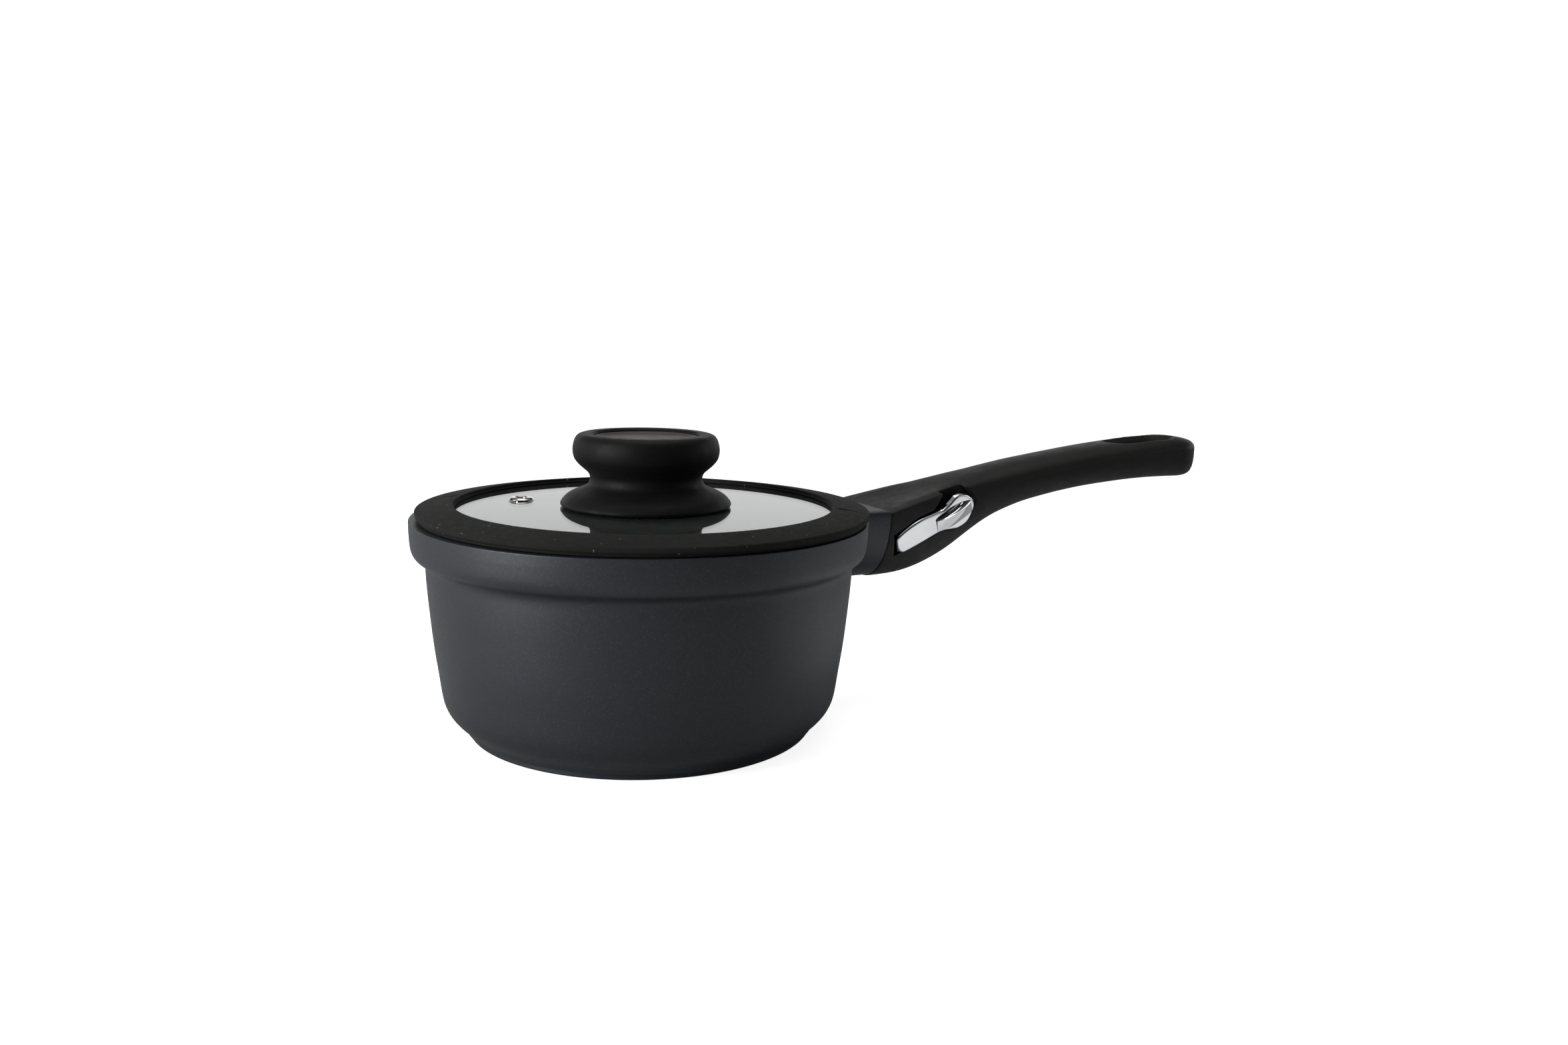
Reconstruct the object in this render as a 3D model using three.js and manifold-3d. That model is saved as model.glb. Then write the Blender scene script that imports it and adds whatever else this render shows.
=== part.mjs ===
// Saucepan with a silicone-rimmed glass lid and a detachable handle clamped by a side cam lever.
// Millimetres, +Z up, origin at the centre of the base on the resting plane, handle along +X.
import * as THREE from 'three';
import { mergeVertices, toCreasedNormals } from 'three/addons/utils/BufferGeometryUtils.js';
import Module from 'manifold-3d';

const wasm = await Module();
wasm.setup();

// ---- driving dimensions -------------------------------------------------------------------
const GAP = 0.3;                 // clearance between neighbouring pieces
const SEG_PAN = 56;              // facets round the pan, ring and glass
const SEG_KNOB = 36;             // facets round the knob
const SEG_SMALL = 16;            // facets round fasteners

const RIM_R = 106;               // outside radius of the rim band
const RIM_TOP = 99.7;            // height of the rim
const SEAT_R = 100;              // bore of the rim that the lid plugs into

const LUG_END = 121;             // lug end face, measured from the pan axis
const LUG_HALF = 27;             // half width of the lug
const LUG_TOP = 99;              // height of the lug's flat top
const LUG_BOTTOM = 62.4;         // height of the lug's lowest line
const TONGUE = { half: 8, z0: 79, z1: 91, end: 160 };

const LID_AT = [1.4, -0.75];       // the lid rests a little off the pan axis
const GLASS_TOP = 104.6;           // glass height on the axis
const GLASS_FALL = 0.7;          // how far the glass falls from axis to edge
const GLASS_T = 4;
const GLASS_R = 96;
const SLOT_AZIMUTHS = [-32, 148];  // steam slots in the silicone ring, degrees
const VENT = { radius: 61.2, azimuth: 143.7, hole: 3.8 };

const SHELL_WALL = 2.8;          // wall of the hollow grip
const HOLLOW = [184, 272];       // hollow stretch of the grip along X
const SCREW_X = [197, 232, 264];
const TIP_START = 324;           // where the grip starts to close in plan
const TIP_LENGTH = 19;

const LEVER_ORIGIN = [131.5, -22, 82.3];    // on the side of the handle, over the pin
const LEVER_U = [0.91761, 0.05769, 0.39326];    // along the lever arm
const LEVER_V = [-0.3704, -0.23478, 0.89871];   // across it, parallel to the pin
const PIN_U = 1;
const PIN_N = -2.9;              // pin axis below the side surface
const PIN_R = 1.3;
const PIN_SPAN = [-7.2, 9.2];    // pin ends along its axis
const HUB_SPAN = [-6.2, 7.3];    // room for the turning hub along the pin
const HUB_R = 6.9;               // rounded end of the arm about the pin
const CAM_R = 4.6;
const CAM_OFFSET = 1.2;          // eccentricity of the cam
const LEVER_FACE = 1.6;          // how far the lever face stands proud
const LEVER_BACK = -2.9;

// ---- helpers --------------------------------------------------------------------------------
function solid(geometry) {
  const bare = geometry.clone();
  for (const name of Object.keys(bare.attributes)) {
    if (name !== 'position') bare.deleteAttribute(name);
  }
  const merged = mergeVertices(bare, 1e-4);
  return new wasm.Manifold(new wasm.Mesh({
    numProp: 3,
    vertProperties: new Float32Array(merged.attributes.position.array),
    triVerts: new Uint32Array(merged.index.array),
  }));
}

function geometryOf(body, creaseDeg = 32) {
  const raw = body.getMesh();
  const geometry = new THREE.BufferGeometry();
  geometry.setAttribute('position', new THREE.BufferAttribute(new Float32Array(raw.vertProperties), 3));
  geometry.setIndex(new THREE.BufferAttribute(new Uint32Array(raw.triVerts), 1));
  return toCreasedNormals(geometry, THREE.MathUtils.degToRad(creaseDeg));
}

// Closed lathe about Z from [radius, height] pairs.
function lathe(profile, segments) {
  const points = profile.map(([r, z]) => new THREE.Vector2(r, z));
  const [first, last] = [profile[0], profile[profile.length - 1]];
  if (first[0] > 0 || last[0] > 0) points.push(points[0].clone());
  const body = solid(new THREE.LatheGeometry(points, segments).rotateX(Math.PI / 2));
  return body.volume() < 0 ? flipped(points, segments) : body;
}

function flipped(points, segments) {
  return solid(new THREE.LatheGeometry([...points].reverse(), segments).rotateX(Math.PI / 2));
}

// Closed skin over rings of points; every ring holds the same number of [x, y, z] points.
function loft(rings) {
  const count = rings[0].length;
  const positions = rings.flat().flat();
  const index = [];
  for (let i = 0; i < rings.length - 1; i += 1) {
    for (let j = 0; j < count; j += 1) {
      const a = i * count + j;
      const b = i * count + ((j + 1) % count);
      index.push(a, b, a + count, b, b + count, a + count);
    }
  }
  const ends = [[rings[0], 0, true], [rings.at(-1), (rings.length - 1) * count, false]];
  for (const [ring, base, turned] of ends) {
    for (const face of capFaces(ring)) {
      const [a, b, c] = face.map((k) => k + base);
      index.push(...(turned ? [a, c, b] : [a, b, c]));
    }
  }
  const geometry = new THREE.BufferGeometry();
  geometry.setAttribute('position', new THREE.Float32BufferAttribute(positions, 3));
  geometry.setIndex(index);
  const body = solid(geometry);
  if (body.volume() > 0) return body;
  const turned = geometry.clone();
  turned.setIndex(index.flatMap((value, k) => (k % 3 === 0 ? [index[k], index[k + 2], index[k + 1]] : [])));
  return solid(turned);
}

// Cap triangles in ring order, found on the ring's own two widest axes.
function capFaces(ring) {
  const spread = [0, 1, 2].map((axis) => {
    const values = ring.map((p) => p[axis]);
    return Math.max(...values) - Math.min(...values);
  });
  const thin = spread.indexOf(Math.min(...spread));
  const [p, q] = [[1, 2], [2, 0], [0, 1]][thin];
  const flat = ring.map((v) => new THREE.Vector2(v[p], v[q]));
  const clockwise = THREE.ShapeUtils.isClockWise(flat);
  const faces = THREE.ShapeUtils.triangulateShape(flat, []);
  return faces.map(([a, b, c]) => {
    const area = (flat[b].x - flat[a].x) * (flat[c].y - flat[a].y)
      - (flat[c].x - flat[a].x) * (flat[b].y - flat[a].y);
    return (area < 0) === clockwise ? [a, b, c] : [a, c, b];
  });
}

function box(x0, x1, y0, y1, z0, z1) {
  const geometry = new THREE.BoxGeometry(x1 - x0, y1 - y0, z1 - z0);
  return solid(geometry.translate((x0 + x1) / 2, (y0 + y1) / 2, (z0 + z1) / 2));
}

function rod(radius, z0, z1, segments = SEG_SMALL) {
  const geometry = new THREE.CylinderGeometry(radius, radius, z1 - z0, segments);
  return solid(geometry.rotateX(Math.PI / 2).translate(0, 0, (z0 + z1) / 2));
}

function extrude(points, z0, z1, bevel = 0) {
  const shape = new THREE.Shape(points.map(([x, y]) => new THREE.Vector2(x, y)));
  const geometry = new THREE.ExtrudeGeometry(shape, {
    depth: z1 - z0 - 2 * bevel,
    bevelEnabled: bevel > 0,
    bevelThickness: bevel,
    bevelSize: bevel,
    bevelOffset: -bevel,
    bevelSegments: 1,
  });
  return solid(geometry.translate(0, 0, z0 + bevel));
}

// Smooth value of a column of a table whose first column is the station.
function sample(table, x, column) {
  const last = table.length - 1;
  const at = Math.min(Math.max(x, table[0][0]), table[last][0]);
  let k = 0;
  while (k < last - 1 && table[k + 1][0] < at) k += 1;
  const slope = (i) => {
    const lo = Math.max(i - 1, 0);
    const hi = Math.min(i + 1, last);
    return (table[hi][column] - table[lo][column]) / (table[hi][0] - table[lo][0]);
  };
  const span = table[k + 1][0] - table[k][0];
  const t = (at - table[k][0]) / span;
  const h00 = (1 + 2 * t) * (1 - t) ** 2;
  const h10 = t * (1 - t) ** 2;
  const h01 = t * t * (3 - 2 * t);
  const h11 = t * t * (t - 1);
  return h00 * table[k][column] + h10 * span * slope(k)
    + h01 * table[k + 1][column] + h11 * span * slope(k + 1);
}

// Smooth closed outline through the given corners.
function smoothLoop(corners, count) {
  const knots = corners.map(([x, y]) => new THREE.Vector3(x, y, 0));
  const curve = new THREE.CatmullRomCurve3(knots, true, 'centripetal');
  return curve.getSpacedPoints(count).slice(0, count).map((p) => [p.x, p.y]);
}

// Outline moved outwards by a distance, for anticlockwise loops.
function grown(points, distance) {
  return points.map((p, i) => {
    const a = points.at(i - 1);
    const b = points[(i + 1) % points.length];
    const length = Math.hypot(b[0] - a[0], b[1] - a[1]);
    return [p[0] + (distance * (b[1] - a[1])) / length, p[1] - (distance * (b[0] - a[0])) / length];
  });
}

const group = new THREE.Group();

function add(name, body, color, roughness, metalness, extra = {}) {
  const material = new THREE.MeshStandardMaterial({ color, roughness, metalness, ...extra });
  const mesh = new THREE.Mesh(geometryOf(body), material);
  mesh.name = name;
  group.add(mesh);
}

// ---- pan ------------------------------------------------------------------------------------
const PAN_OUTSIDE = [
  [0, 0], [80.6, 0], [81.2, 0.6], [81, 2.8], [82.9, 3.1], [84.9, 6], [88, 9], [90.6, 12.5],
  [92.4, 17.5], [94.1, 29], [96.1, 43.5], [98, 62.7], [99.1, 78.6], [99.8, 80.6], [101.6, 82.4],
  [103.8, 84], [105, 86], [105.6, 89.2], [RIM_R, 96], [RIM_R, 98.9], [105.4, RIM_TOP], [0, RIM_TOP],
];
const PAN_INSIDE = [
  [0, 9], [75, 9.1], [80.6, 10.4], [84.2, 13.4], [86.8, 19], [89.3, 31], [91.6, 50], [93.7, 76],
  [94, 86], [95, 89.6], [99.6, 93.4], [SEAT_R, 98.8], [101, RIM_TOP + 0.001], [101, RIM_TOP + 5],
  [0, RIM_TOP + 5],
];

// Half-ellipse underside with a flat top, the section shared by the lug and the handle front.
function lugSection(x) {
  const steps = 20;
  const points = [[x, LUG_HALF - 0.9, LUG_TOP], [x, -LUG_HALF + 0.9, LUG_TOP]];
  for (let i = 0; i <= steps; i += 1) {
    const angle = (Math.PI * i) / steps;
    const drop = (LUG_TOP - 0.8 - LUG_BOTTOM) * Math.sin(angle);
    points.push([x, -LUG_HALF * Math.cos(angle), LUG_TOP - 0.8 - drop]);
  }
  return points;
}

const tongueBody = box(100, TONGUE.end - 3, -TONGUE.half, TONGUE.half, TONGUE.z0, TONGUE.z1)
  .add(loft([[0, 0], [3, 2.2]].map(([dx, inset]) => [
    [TONGUE.end - 3 + dx, -TONGUE.half + inset, TONGUE.z0 + inset],
    [TONGUE.end - 3 + dx, TONGUE.half - inset, TONGUE.z0 + inset],
    [TONGUE.end - 3 + dx, TONGUE.half - inset, TONGUE.z1 - inset],
    [TONGUE.end - 3 + dx, -TONGUE.half + inset, TONGUE.z1 - inset],
  ])));
const casting = lathe(PAN_OUTSIDE, SEG_PAN)
  .add(loft([lugSection(70), lugSection(LUG_END)]))
  .add(tongueBody)
  .subtract(lathe(PAN_INSIDE, SEG_PAN));
add('pan_casting', casting, 0x2c3038, 0.45, 0.35);

// ---- lid ------------------------------------------------------------------------------------
const addToLid = (name, body, ...look) => add(name, body.translate(...LID_AT, 0), ...look);
const glassTop = (r) => GLASS_TOP - GLASS_FALL * (r / GLASS_R) ** 2;
const glassRadii = [0, 20, 40, 60, 80, GLASS_R];
const glassProfile = [
  ...glassRadii.map((r) => [r, glassTop(r) - GLASS_T]),
  ...[...glassRadii].reverse().map((r) => [r, glassTop(r)]),
];
const ventAngle = THREE.MathUtils.degToRad(VENT.azimuth);
const ventAt = [VENT.radius * Math.cos(ventAngle), VENT.radius * Math.sin(ventAngle)];
const ventZ = glassTop(VENT.radius);
const glass = lathe(glassProfile, SEG_PAN)
  .subtract(rod(4, 90, 110))
  .subtract(rod(VENT.hole, 90, 110).translate(...ventAt, 0));
addToLid('lid_glass', glass, 0xd6dadb, 0.05, 0, { transparent: true, opacity: 0.45 });

const RING = [
  [87.8, 106.6], [104.5, 104.15], [104.85, 103.6], [104.7, 102.1], [104.2, 101.4], [103.7, 101.2],
  [103.4, 100.05], [99.6, 100.05], [98.1, 99.2], [97.8, 95.9], [97.2, 95.4], [89, 95.6],
  [88.4, 96.2], [88.4, glassTop(88.4) - GLASS_T - GAP], [GLASS_R + GAP, glassTop(GLASS_R) - GLASS_T - GAP],
  [GLASS_R + GAP, glassTop(GLASS_R) + GAP], [87.4, glassTop(87.4) + GAP], [87.3, 104.8],
  [87.75, 105],
];
// Teardrop slot along a radius: wide by the inner edge, running out to a slit at the outer edge.
const SLOT = [
  [89.2, 0], [90.4, -1.1], [92.6, -1.55], [95, -1.2], [98, -0.6], [102.6, -0.28],
  [102.6, 0.28], [98, 0.6], [95, 1.2], [92.6, 1.55], [90.4, 1.1],
];
let ring = lathe(RING, SEG_PAN);
for (const azimuth of SLOT_AZIMUTHS) {
  ring = ring.subtract(extrude(SLOT, 103, 110).rotate([0, 0, azimuth]));
}
addToLid('lid_silicone_rim', ring, 0x2a2926, 0.75, 0);

const EYELET = [
  [2.6, 0.9], [3, 1.35], [3.9, 1.5], [4.9, 1.3], [5.7, 0.8], [6, 0.45], [5.9, 0.3], [3.4, 0.3], [3.4, -5.7],
  [5, -5.7], [5, -6.4], [3, -6.4], [2.6, -6],
];
addToLid('vent_eyelet', lathe(EYELET, SEG_SMALL).translate(...ventAt, ventZ), 0xc9cacb, 0.15, 1);
const VENT_WASHER = [[3.7, -4.3], [6.6, -4.3], [6.6, -5.4], [3.7, -5.4]];
addToLid('vent_washer', lathe(VENT_WASHER, SEG_SMALL).translate(...ventAt, ventZ), 0x9a9c9e, 0.3, 1);

const KNOB = [
  [0, 134.8], [24.6, 134.8], [24.6, 137.6], [25.4, 138.4], [29.7, 138.4], [31.8, 137.5], [33.2, 135.6],
  [34, 132.7], [34.1, 130.2], [33.7, 127.9], [33.1, 126.5], [31.5, 124.5], [29.2, 122.4],
  [27.3, 120.7], [26.4, 119.2], [26.2, 117.6], [26.7, 115.6], [28, 114], [30.5, 112.7], [34.1, 111.3],
  [37.2, 109.5], [39.2, 107.3], [39.8, 106], [39.5, 105.2], [38.8, 104.9], [36, 104.9],
  [35.2, 107.4], [22, 110], [20.5, 118], [11, 118], [10, 106], [4.6, 106], [4.6, 114.3], [0, 114.3],
];
addToLid('knob_body', lathe(KNOB, SEG_KNOB), 0x171716, 0.6, 0);
const KNOB_CAP = [[0, 135.1], [24.2, 135.1], [24.2, 137], [22.8, 136.9], [17, 136.4], [0, 136.1]];
addToLid('knob_cap', lathe(KNOB_CAP, SEG_KNOB), 0x2b2926, 0.6, 0);
const KNOB_INSERT = [[2.7, 106.4], [4.3, 106.4], [4.3, 114], [2.7, 114]];
addToLid('knob_insert', lathe(KNOB_INSERT, SEG_SMALL), 0xb08d4a, 0.35, 1);
const GASKET_UPPER = [[4.4, 104.9], [9.6, 104.9], [9.6, 105.7], [4.4, 105.7]];
const GASKET_LOWER = [[3.2, 99.1], [8.4, 99.1], [8.4, 100.3], [3.2, 100.3]];
addToLid('knob_gasket_upper', lathe(GASKET_UPPER, SEG_SMALL), 0x2b2b2b, 0.8, 0);
addToLid('knob_gasket_lower', lathe(GASKET_LOWER, SEG_SMALL), 0x2b2b2b, 0.8, 0);
const KNOB_WASHER = [[2.8, 97.7], [9, 97.7], [9, 98.8], [2.8, 98.8]];
addToLid('knob_washer', lathe(KNOB_WASHER, SEG_SMALL), 0xa5a7a9, 0.3, 1);
const KNOB_SCREW = [
  [0, 93.6], [3.4, 93.6], [4.9, 94.4], [5.4, 95.8], [5.4, 97.4], [2.4, 97.4], [2.4, 111.4], [1.8, 112],
  [0, 112],
];
const knobScrew = lathe(KNOB_SCREW, SEG_SMALL)
  .subtract(box(-0.5, 0.5, -3, 3, 90, 95.2))
  .subtract(box(-3, 3, -0.5, 0.5, 90, 95.2));
addToLid('knob_screw', knobScrew, 0xb4b6b8, 0.3, 1);

// ---- handle body ------------------------------------------------------------------------------
// Columns: X station, half width, crease height, crest height, underside height, upper exponent,
// lower exponent, depth of the thumb dish.
const STATIONS = [
  [121.35, 27, 97.9, 98.3, 61.8, 6, 2, 0],
  [130, 25.5, 99.4, 100.6, 61.9, 5, 2, 0.5],
  [140, 23.8, 101.1, 103.1, 62.6, 4.4, 2, 0.8],
  [150, 22.4, 102.7, 105.5, 64.7, 3.8, 2, 0.8],
  [160, 21.1, 103.6, 107.7, 68.2, 3.2, 2, 0.5],
  [170, 20, 104.7, 110.3, 73.2, 2.7, 2.05, 0.1],
  [180, 19.2, 105.8, 112.7, 79.7, 2.4, 2.1, 0],
  [190, 18.6, 107, 114.6, 85.9, 2.3, 2.15, 0],
  [200, 18.2, 108.6, 116.6, 90.6, 2.2, 2.2, 0],
  [215, 17.8, 110.9, 119.2, 95.5, 2.2, 2.3, 0],
  [230, 17.6, 112.9, 121.3, 98.7, 2.2, 2.4, 0],
  [245, 17.6, 115.1, 123.2, 101.2, 2.2, 2.5, 0],
  [260, 17.8, 117.2, 125, 103.1, 2.2, 2.6, 0],
  [275, 18, 119.2, 126.5, 104.5, 2.2, 2.8, 0],
  [290, 18.2, 120.9, 127.8, 105.6, 2.2, 3, 0],
  [305, 18.2, 122, 129.2, 106.2, 2.2, 3.2, 0],
  [320, 18, 122.5, 129.8, 106.3, 2.3, 3.4, 0],
  [332, 17.8, 122.6, 128.9, 106.2, 2.4, 3.4, 0],
  [343, 17.4, 122.6, 126.6, 107.2, 2.4, 3, 0],
];
const UPPER_STEPS = 12;
const LOWER_STEPS = 16;

function handleSection(x, inset = 0) {
  const closing = x > TIP_START ? Math.sqrt(Math.max(1 - ((x - TIP_START) / TIP_LENGTH) ** 2, 0.004)) : 1;
  const half = sample(STATIONS, x, 1) * closing - inset;
  const crease = sample(STATIONS, x, 2);
  const up = sample(STATIONS, x, 3) - crease - inset;
  const down = crease - sample(STATIONS, x, 4) - inset;
  const upPower = 2 / sample(STATIONS, x, 5);
  const downPower = 2 / sample(STATIONS, x, 6);
  const dish = inset > 0 ? 0 : sample(STATIONS, x, 7);
  const points = [];
  for (let i = 0; i < UPPER_STEPS; i += 1) {
    const angle = (Math.PI * i) / UPPER_STEPS;
    const across = half * Math.sign(Math.cos(angle)) * Math.abs(Math.cos(angle)) ** upPower;
    const hollow = dish * Math.max(1 - (across / (0.72 * half)) ** 2, 0);
    points.push([x, across, crease + up * Math.sin(angle) ** upPower - hollow]);
  }
  for (let i = 0; i < LOWER_STEPS; i += 1) {
    const angle = (Math.PI * i) / LOWER_STEPS;
    const across = -half * Math.sign(Math.cos(angle)) * Math.abs(Math.cos(angle)) ** downPower;
    points.push([x, across, crease - down * Math.sin(angle) ** downPower]);
  }
  return points;
}

const bodyStations = [121.35, 126, 131, 138, 145, 152, 159, 166, 173, 180, 187, 194, 202, 212, 224, 238,
  254, 270, 286, 302, 314, 323, 330, 335.5, 339.4, 341.8, 342.9, 343];
const hollowStations = [HOLLOW[0], 192, 202, 214, 230, 250, HOLLOW[1]];
const fullBody = loft(bodyStations.map((x) => handleSection(x)));
const hollowBody = loft(hollowStations.map((x) => handleSection(x, SHELL_WALL)));

// Screw bosses stand inside the hollow grip.
let bosses = rod(4.2, 60, 140).translate(SCREW_X[0], 0, 0);
for (const x of SCREW_X.slice(1)) bosses = bosses.add(rod(4.2, 60, 140).translate(x, 0, 0));
const bossTops = bosses.intersect(fullBody);

// Local frame of the lever: u along the arm, v along the pin, n out of the side of the handle.
const uAxis = new THREE.Vector3(...LEVER_U).normalize();
const vAxis = new THREE.Vector3(...LEVER_V).normalize();
const nAxis = new THREE.Vector3().crossVectors(uAxis, vAxis).normalize();
const leverFrame = new THREE.Matrix4().makeBasis(uAxis, vAxis, nAxis).setPosition(...LEVER_ORIGIN);
const place = (body) => body.transform(leverFrame.toArray());
const alongV = (body) => body.rotate([-90, 0, 0]);

const LEVER_OUTLINE = smoothLoop([
  [-4.4, 0.2], [-3.7, -3.8], [-0.6, -5.5], [11.3, -5.9], [23.6, -6.2], [30.8, -8.5], [35.8, -10.1],
  [42.2, -9.2], [47.3, -4], [48.1, -0.3], [46.8, 2.9], [42.5, 7.1], [37.6, 8.3], [33.2, 6.7],
  [28, 5.1], [23.3, 5.7], [13.7, 7], [6.5, 6.9], [-0.6, 5.7], [-3.6, 4],
], 44);
const FINGER_POCKET = [
  [24, -1.5], [44, -3], [49.3, -1], [49.7, 3], [46.4, 8], [41, 11.6], [36, 12.6], [31.6, 10.8],
  [27.6, 7.4], [23.6, 4.6],
];
const POCKET_MOUTH = [
  [21.8, -1.5], [44, -3], [51.4, -1.6], [52.2, 4.5], [49, 11.5], [43, 15.6], [36, 16.6], [29, 15.2],
  [24.2, 11.5], [21.2, 6.5],
];
const level = (points, n) => points.map(([x, y]) => [x, y, n]);
const pocketRings = [
  [FINGER_POCKET, -7], [FINGER_POCKET, -2], [POCKET_MOUTH, 1.6], [POCKET_MOUTH, 16],
].map(([points, n]) => level(smoothLoop(points, 20), n));

const recess = extrude(grown(LEVER_OUTLINE, 0.8), LEVER_BACK - 0.5, 16)
  .add(loft(pocketRings))
  .add(alongV(rod(HUB_R + 0.4, ...HUB_SPAN, 28)).translate(PIN_U, 0, PIN_N))
  .add(alongV(rod(PIN_R + GAP, PIN_SPAN[0] - GAP, PIN_SPAN[1] + GAP)).translate(PIN_U, 0, PIN_N));
const shoeHalf = { u: 4.6, v: 4 };
const shoeBack = PIN_N - CAM_OFFSET - CAM_R - 0.35;
const shoeBox = (clear, n0, n1) => place(
  box(
    PIN_U - shoeHalf.u - clear, PIN_U + shoeHalf.u + clear,
    -shoeHalf.v - clear, shoeHalf.v + clear,
    n0, n1,
  ),
);
const shoeWindow = shoeBox(GAP, -16, PIN_N);
const handOver = box(100, 200, -TONGUE.half - GAP, 40, 60, 110);

const sleeveBore = { half: TONGUE.half + GAP, z0: TONGUE.z0 - GAP, z1: TONGUE.z1 + GAP };
const SLEEVE_WALL = 1.5;
const sleeveSpan = [121.7, 164];
const sleeveOuter = box(
  ...sleeveSpan,
  -sleeveBore.half - SLEEVE_WALL, sleeveBore.half + SLEEVE_WALL,
  sleeveBore.z0 - SLEEVE_WALL, sleeveBore.z1 + SLEEVE_WALL,
);
const sleeveHole = box(110, 162.5, -sleeveBore.half, sleeveBore.half, sleeveBore.z0, sleeveBore.z1);
const socket = box(
  110, sleeveSpan[1] + GAP,
  -sleeveBore.half - SLEEVE_WALL - GAP, sleeveBore.half + SLEEVE_WALL + GAP,
  sleeveBore.z0 - SLEEVE_WALL - GAP, sleeveBore.z1 + SLEEVE_WALL + GAP,
);

// Hang hole: a long mouth on top that narrows to a shorter outlet underneath.
const HANG_HOLE = [
  [98, 313, 12.5, 5.6], [106, 313, 12.5, 5.6], [114, 309, 15.5, 6.2], [122, 304.5, 20, 7.4],
  [125.5, 303.5, 22, 9], [127.5, 303, 23.5, 11], [131.5, 302.5, 26.5, 14.5],
];
function stadium([z, centre, halfLength, halfWidth]) {
  const points = [];
  for (let i = 0; i < 20; i += 1) {
    const angle = (2 * Math.PI * (i + 0.5)) / 20;
    const shift = (halfLength - halfWidth) * Math.sign(Math.cos(angle));
    points.push([centre + shift + halfWidth * Math.cos(angle), halfWidth * Math.sin(angle), z]);
  }
  return points;
}

let handleBody = fullBody
  .subtract(hollowBody)
  .add(bossTops)
  .subtract(loft(HANG_HOLE.map(stadium)))
  .subtract(place(recess))
  .subtract(shoeWindow)
  .subtract(socket);

const screwBodies = SCREW_X.map((x) => {
  const under = sample(STATIONS, x, 4);
  const crease = sample(STATIONS, x, 2);
  const seat = under + 4.4;
  const tip = crease + 4;
  handleBody = handleBody
    .subtract(rod(3.2, under - 3, seat + GAP).translate(x, 0, 0))
    .subtract(rod(1.6, seat, tip + GAP).translate(x, 0, 0));
  const profile = [
    [0, seat - 2.4], [1.9, seat - 2.4], [2.8, seat - 1.7], [2.8, seat], [1.3, seat],
    [1.3, tip - 0.8], [0.6, tip], [0, tip],
  ];
  return lathe(profile, 16)
    .subtract(box(-0.35, 0.35, -1.6, 1.6, seat - 3, seat - 1.4))
    .subtract(box(-1.6, 1.6, -0.35, 0.35, seat - 3, seat - 1.4))
    .translate(x, 0, 0);
});

// The two shells meet along the crease that runs down both sides.
const PARTING_END = 355;

function partingSide(sign) {
  const far = sign > 0 ? 150 : 40;
  const line = bodyStations.map((x) => [x, sample(STATIONS, x, 2) + (sign * GAP) / 2]);
  line.unshift([110, line[0][1]]);
  line.push([PARTING_END, line.at(-1)[1]]);
  const outline = [...line, [PARTING_END, far], [110, far]];
  const curtain = extrude(outline, -40, 40);
  return curtain.rotate([90, 0, 0]);
}
const upperShell = handleBody.intersect(partingSide(1));
const lowerShell = handleBody.intersect(partingSide(-1));
add('handle_upper_shell', upperShell, 0x2f2e2c, 0.65, 0);
add('handle_lower_shell', lowerShell, 0x1f201f, 0.65, 0);

const sleeve = sleeveOuter.subtract(sleeveHole).subtract(shoeWindow);
add('tongue_sleeve', sleeve, 0x9b9da0, 0.35, 1);
SCREW_X.forEach((x, i) => add(`shell_screw_${i + 1}`, screwBodies[i], 0x8f9194, 0.35, 1));

// ---- cam lever, pin and clamp shoe --------------------------------------------------------------
// Side profile of the arm: flat face, rounded end concentric with the pin.
const armProfile = [[60, LEVER_BACK], [60, 12], [PIN_U + 4, 12], [PIN_U + 4, LEVER_FACE]];
const faceAngle = Math.PI - Math.asin((LEVER_FACE - PIN_N) / HUB_R);
for (let i = 0; i <= 8; i += 1) {
  const angle = faceAngle + (Math.PI - faceAngle) * (i / 8);
  armProfile.push([PIN_U + HUB_R * Math.cos(angle), PIN_N + HUB_R * Math.sin(angle)]);
}
const armSide = extrude(armProfile, -14, 14).rotate([90, 0, 0]);
// The thumb ridge arches up from the face; its crest runs along the upper edge.
const RIDGE = { start: 21.6, length: 24, rise: 3.5 };
const ridgeRings = [0, 0.02, 0.06, 0.13, 0.25, 0.4, 0.6, 0.75, 0.87, 0.94, 0.98, 1].map((t) => {
  const arch = Math.max(Math.sin(Math.PI * t), 0.004) ** 0.5;
  const u = RIDGE.start + RIDGE.length * t;
  const [low, high] = [-5 - 1.3 * Math.sin(Math.PI * t), 1.5 + 0.5 * t];
  return [
    [low, 0.8], [high, 0.8], [high, LEVER_FACE + (RIDGE.rise - 0.1) * arch],
    [high - 0.5, LEVER_FACE + RIDGE.rise * arch], [low, LEVER_FACE + 0.5 * arch],
  ].map(([v, n]) => [u, v, n]);
});
const lens = smoothLoop([
  [22.6, 1.95], [28, 2.1], [34, 2.4], [39, 2.6], [43, 2.7], [39, 3.8], [34, 4.3], [28, 3.7],
], 24);
const lever = extrude(LEVER_OUTLINE, LEVER_BACK, LEVER_FACE, 0.6)
  .add(loft(ridgeRings))
  .intersect(armSide)
  .subtract(box(19, 60, -20, 20, LEVER_BACK - 1, -0.8))
  .add(alongV(rod(CAM_R, -4.8, 5.2, 24)).translate(PIN_U, 0, PIN_N - CAM_OFFSET))
  .subtract(extrude(lens, -12, 12))
  .subtract(alongV(rod(PIN_R + GAP, -12, 12)).translate(PIN_U, 0, PIN_N));
add('cam_lever', place(lever), 0xd4d6d8, 0.12, 1);

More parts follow.
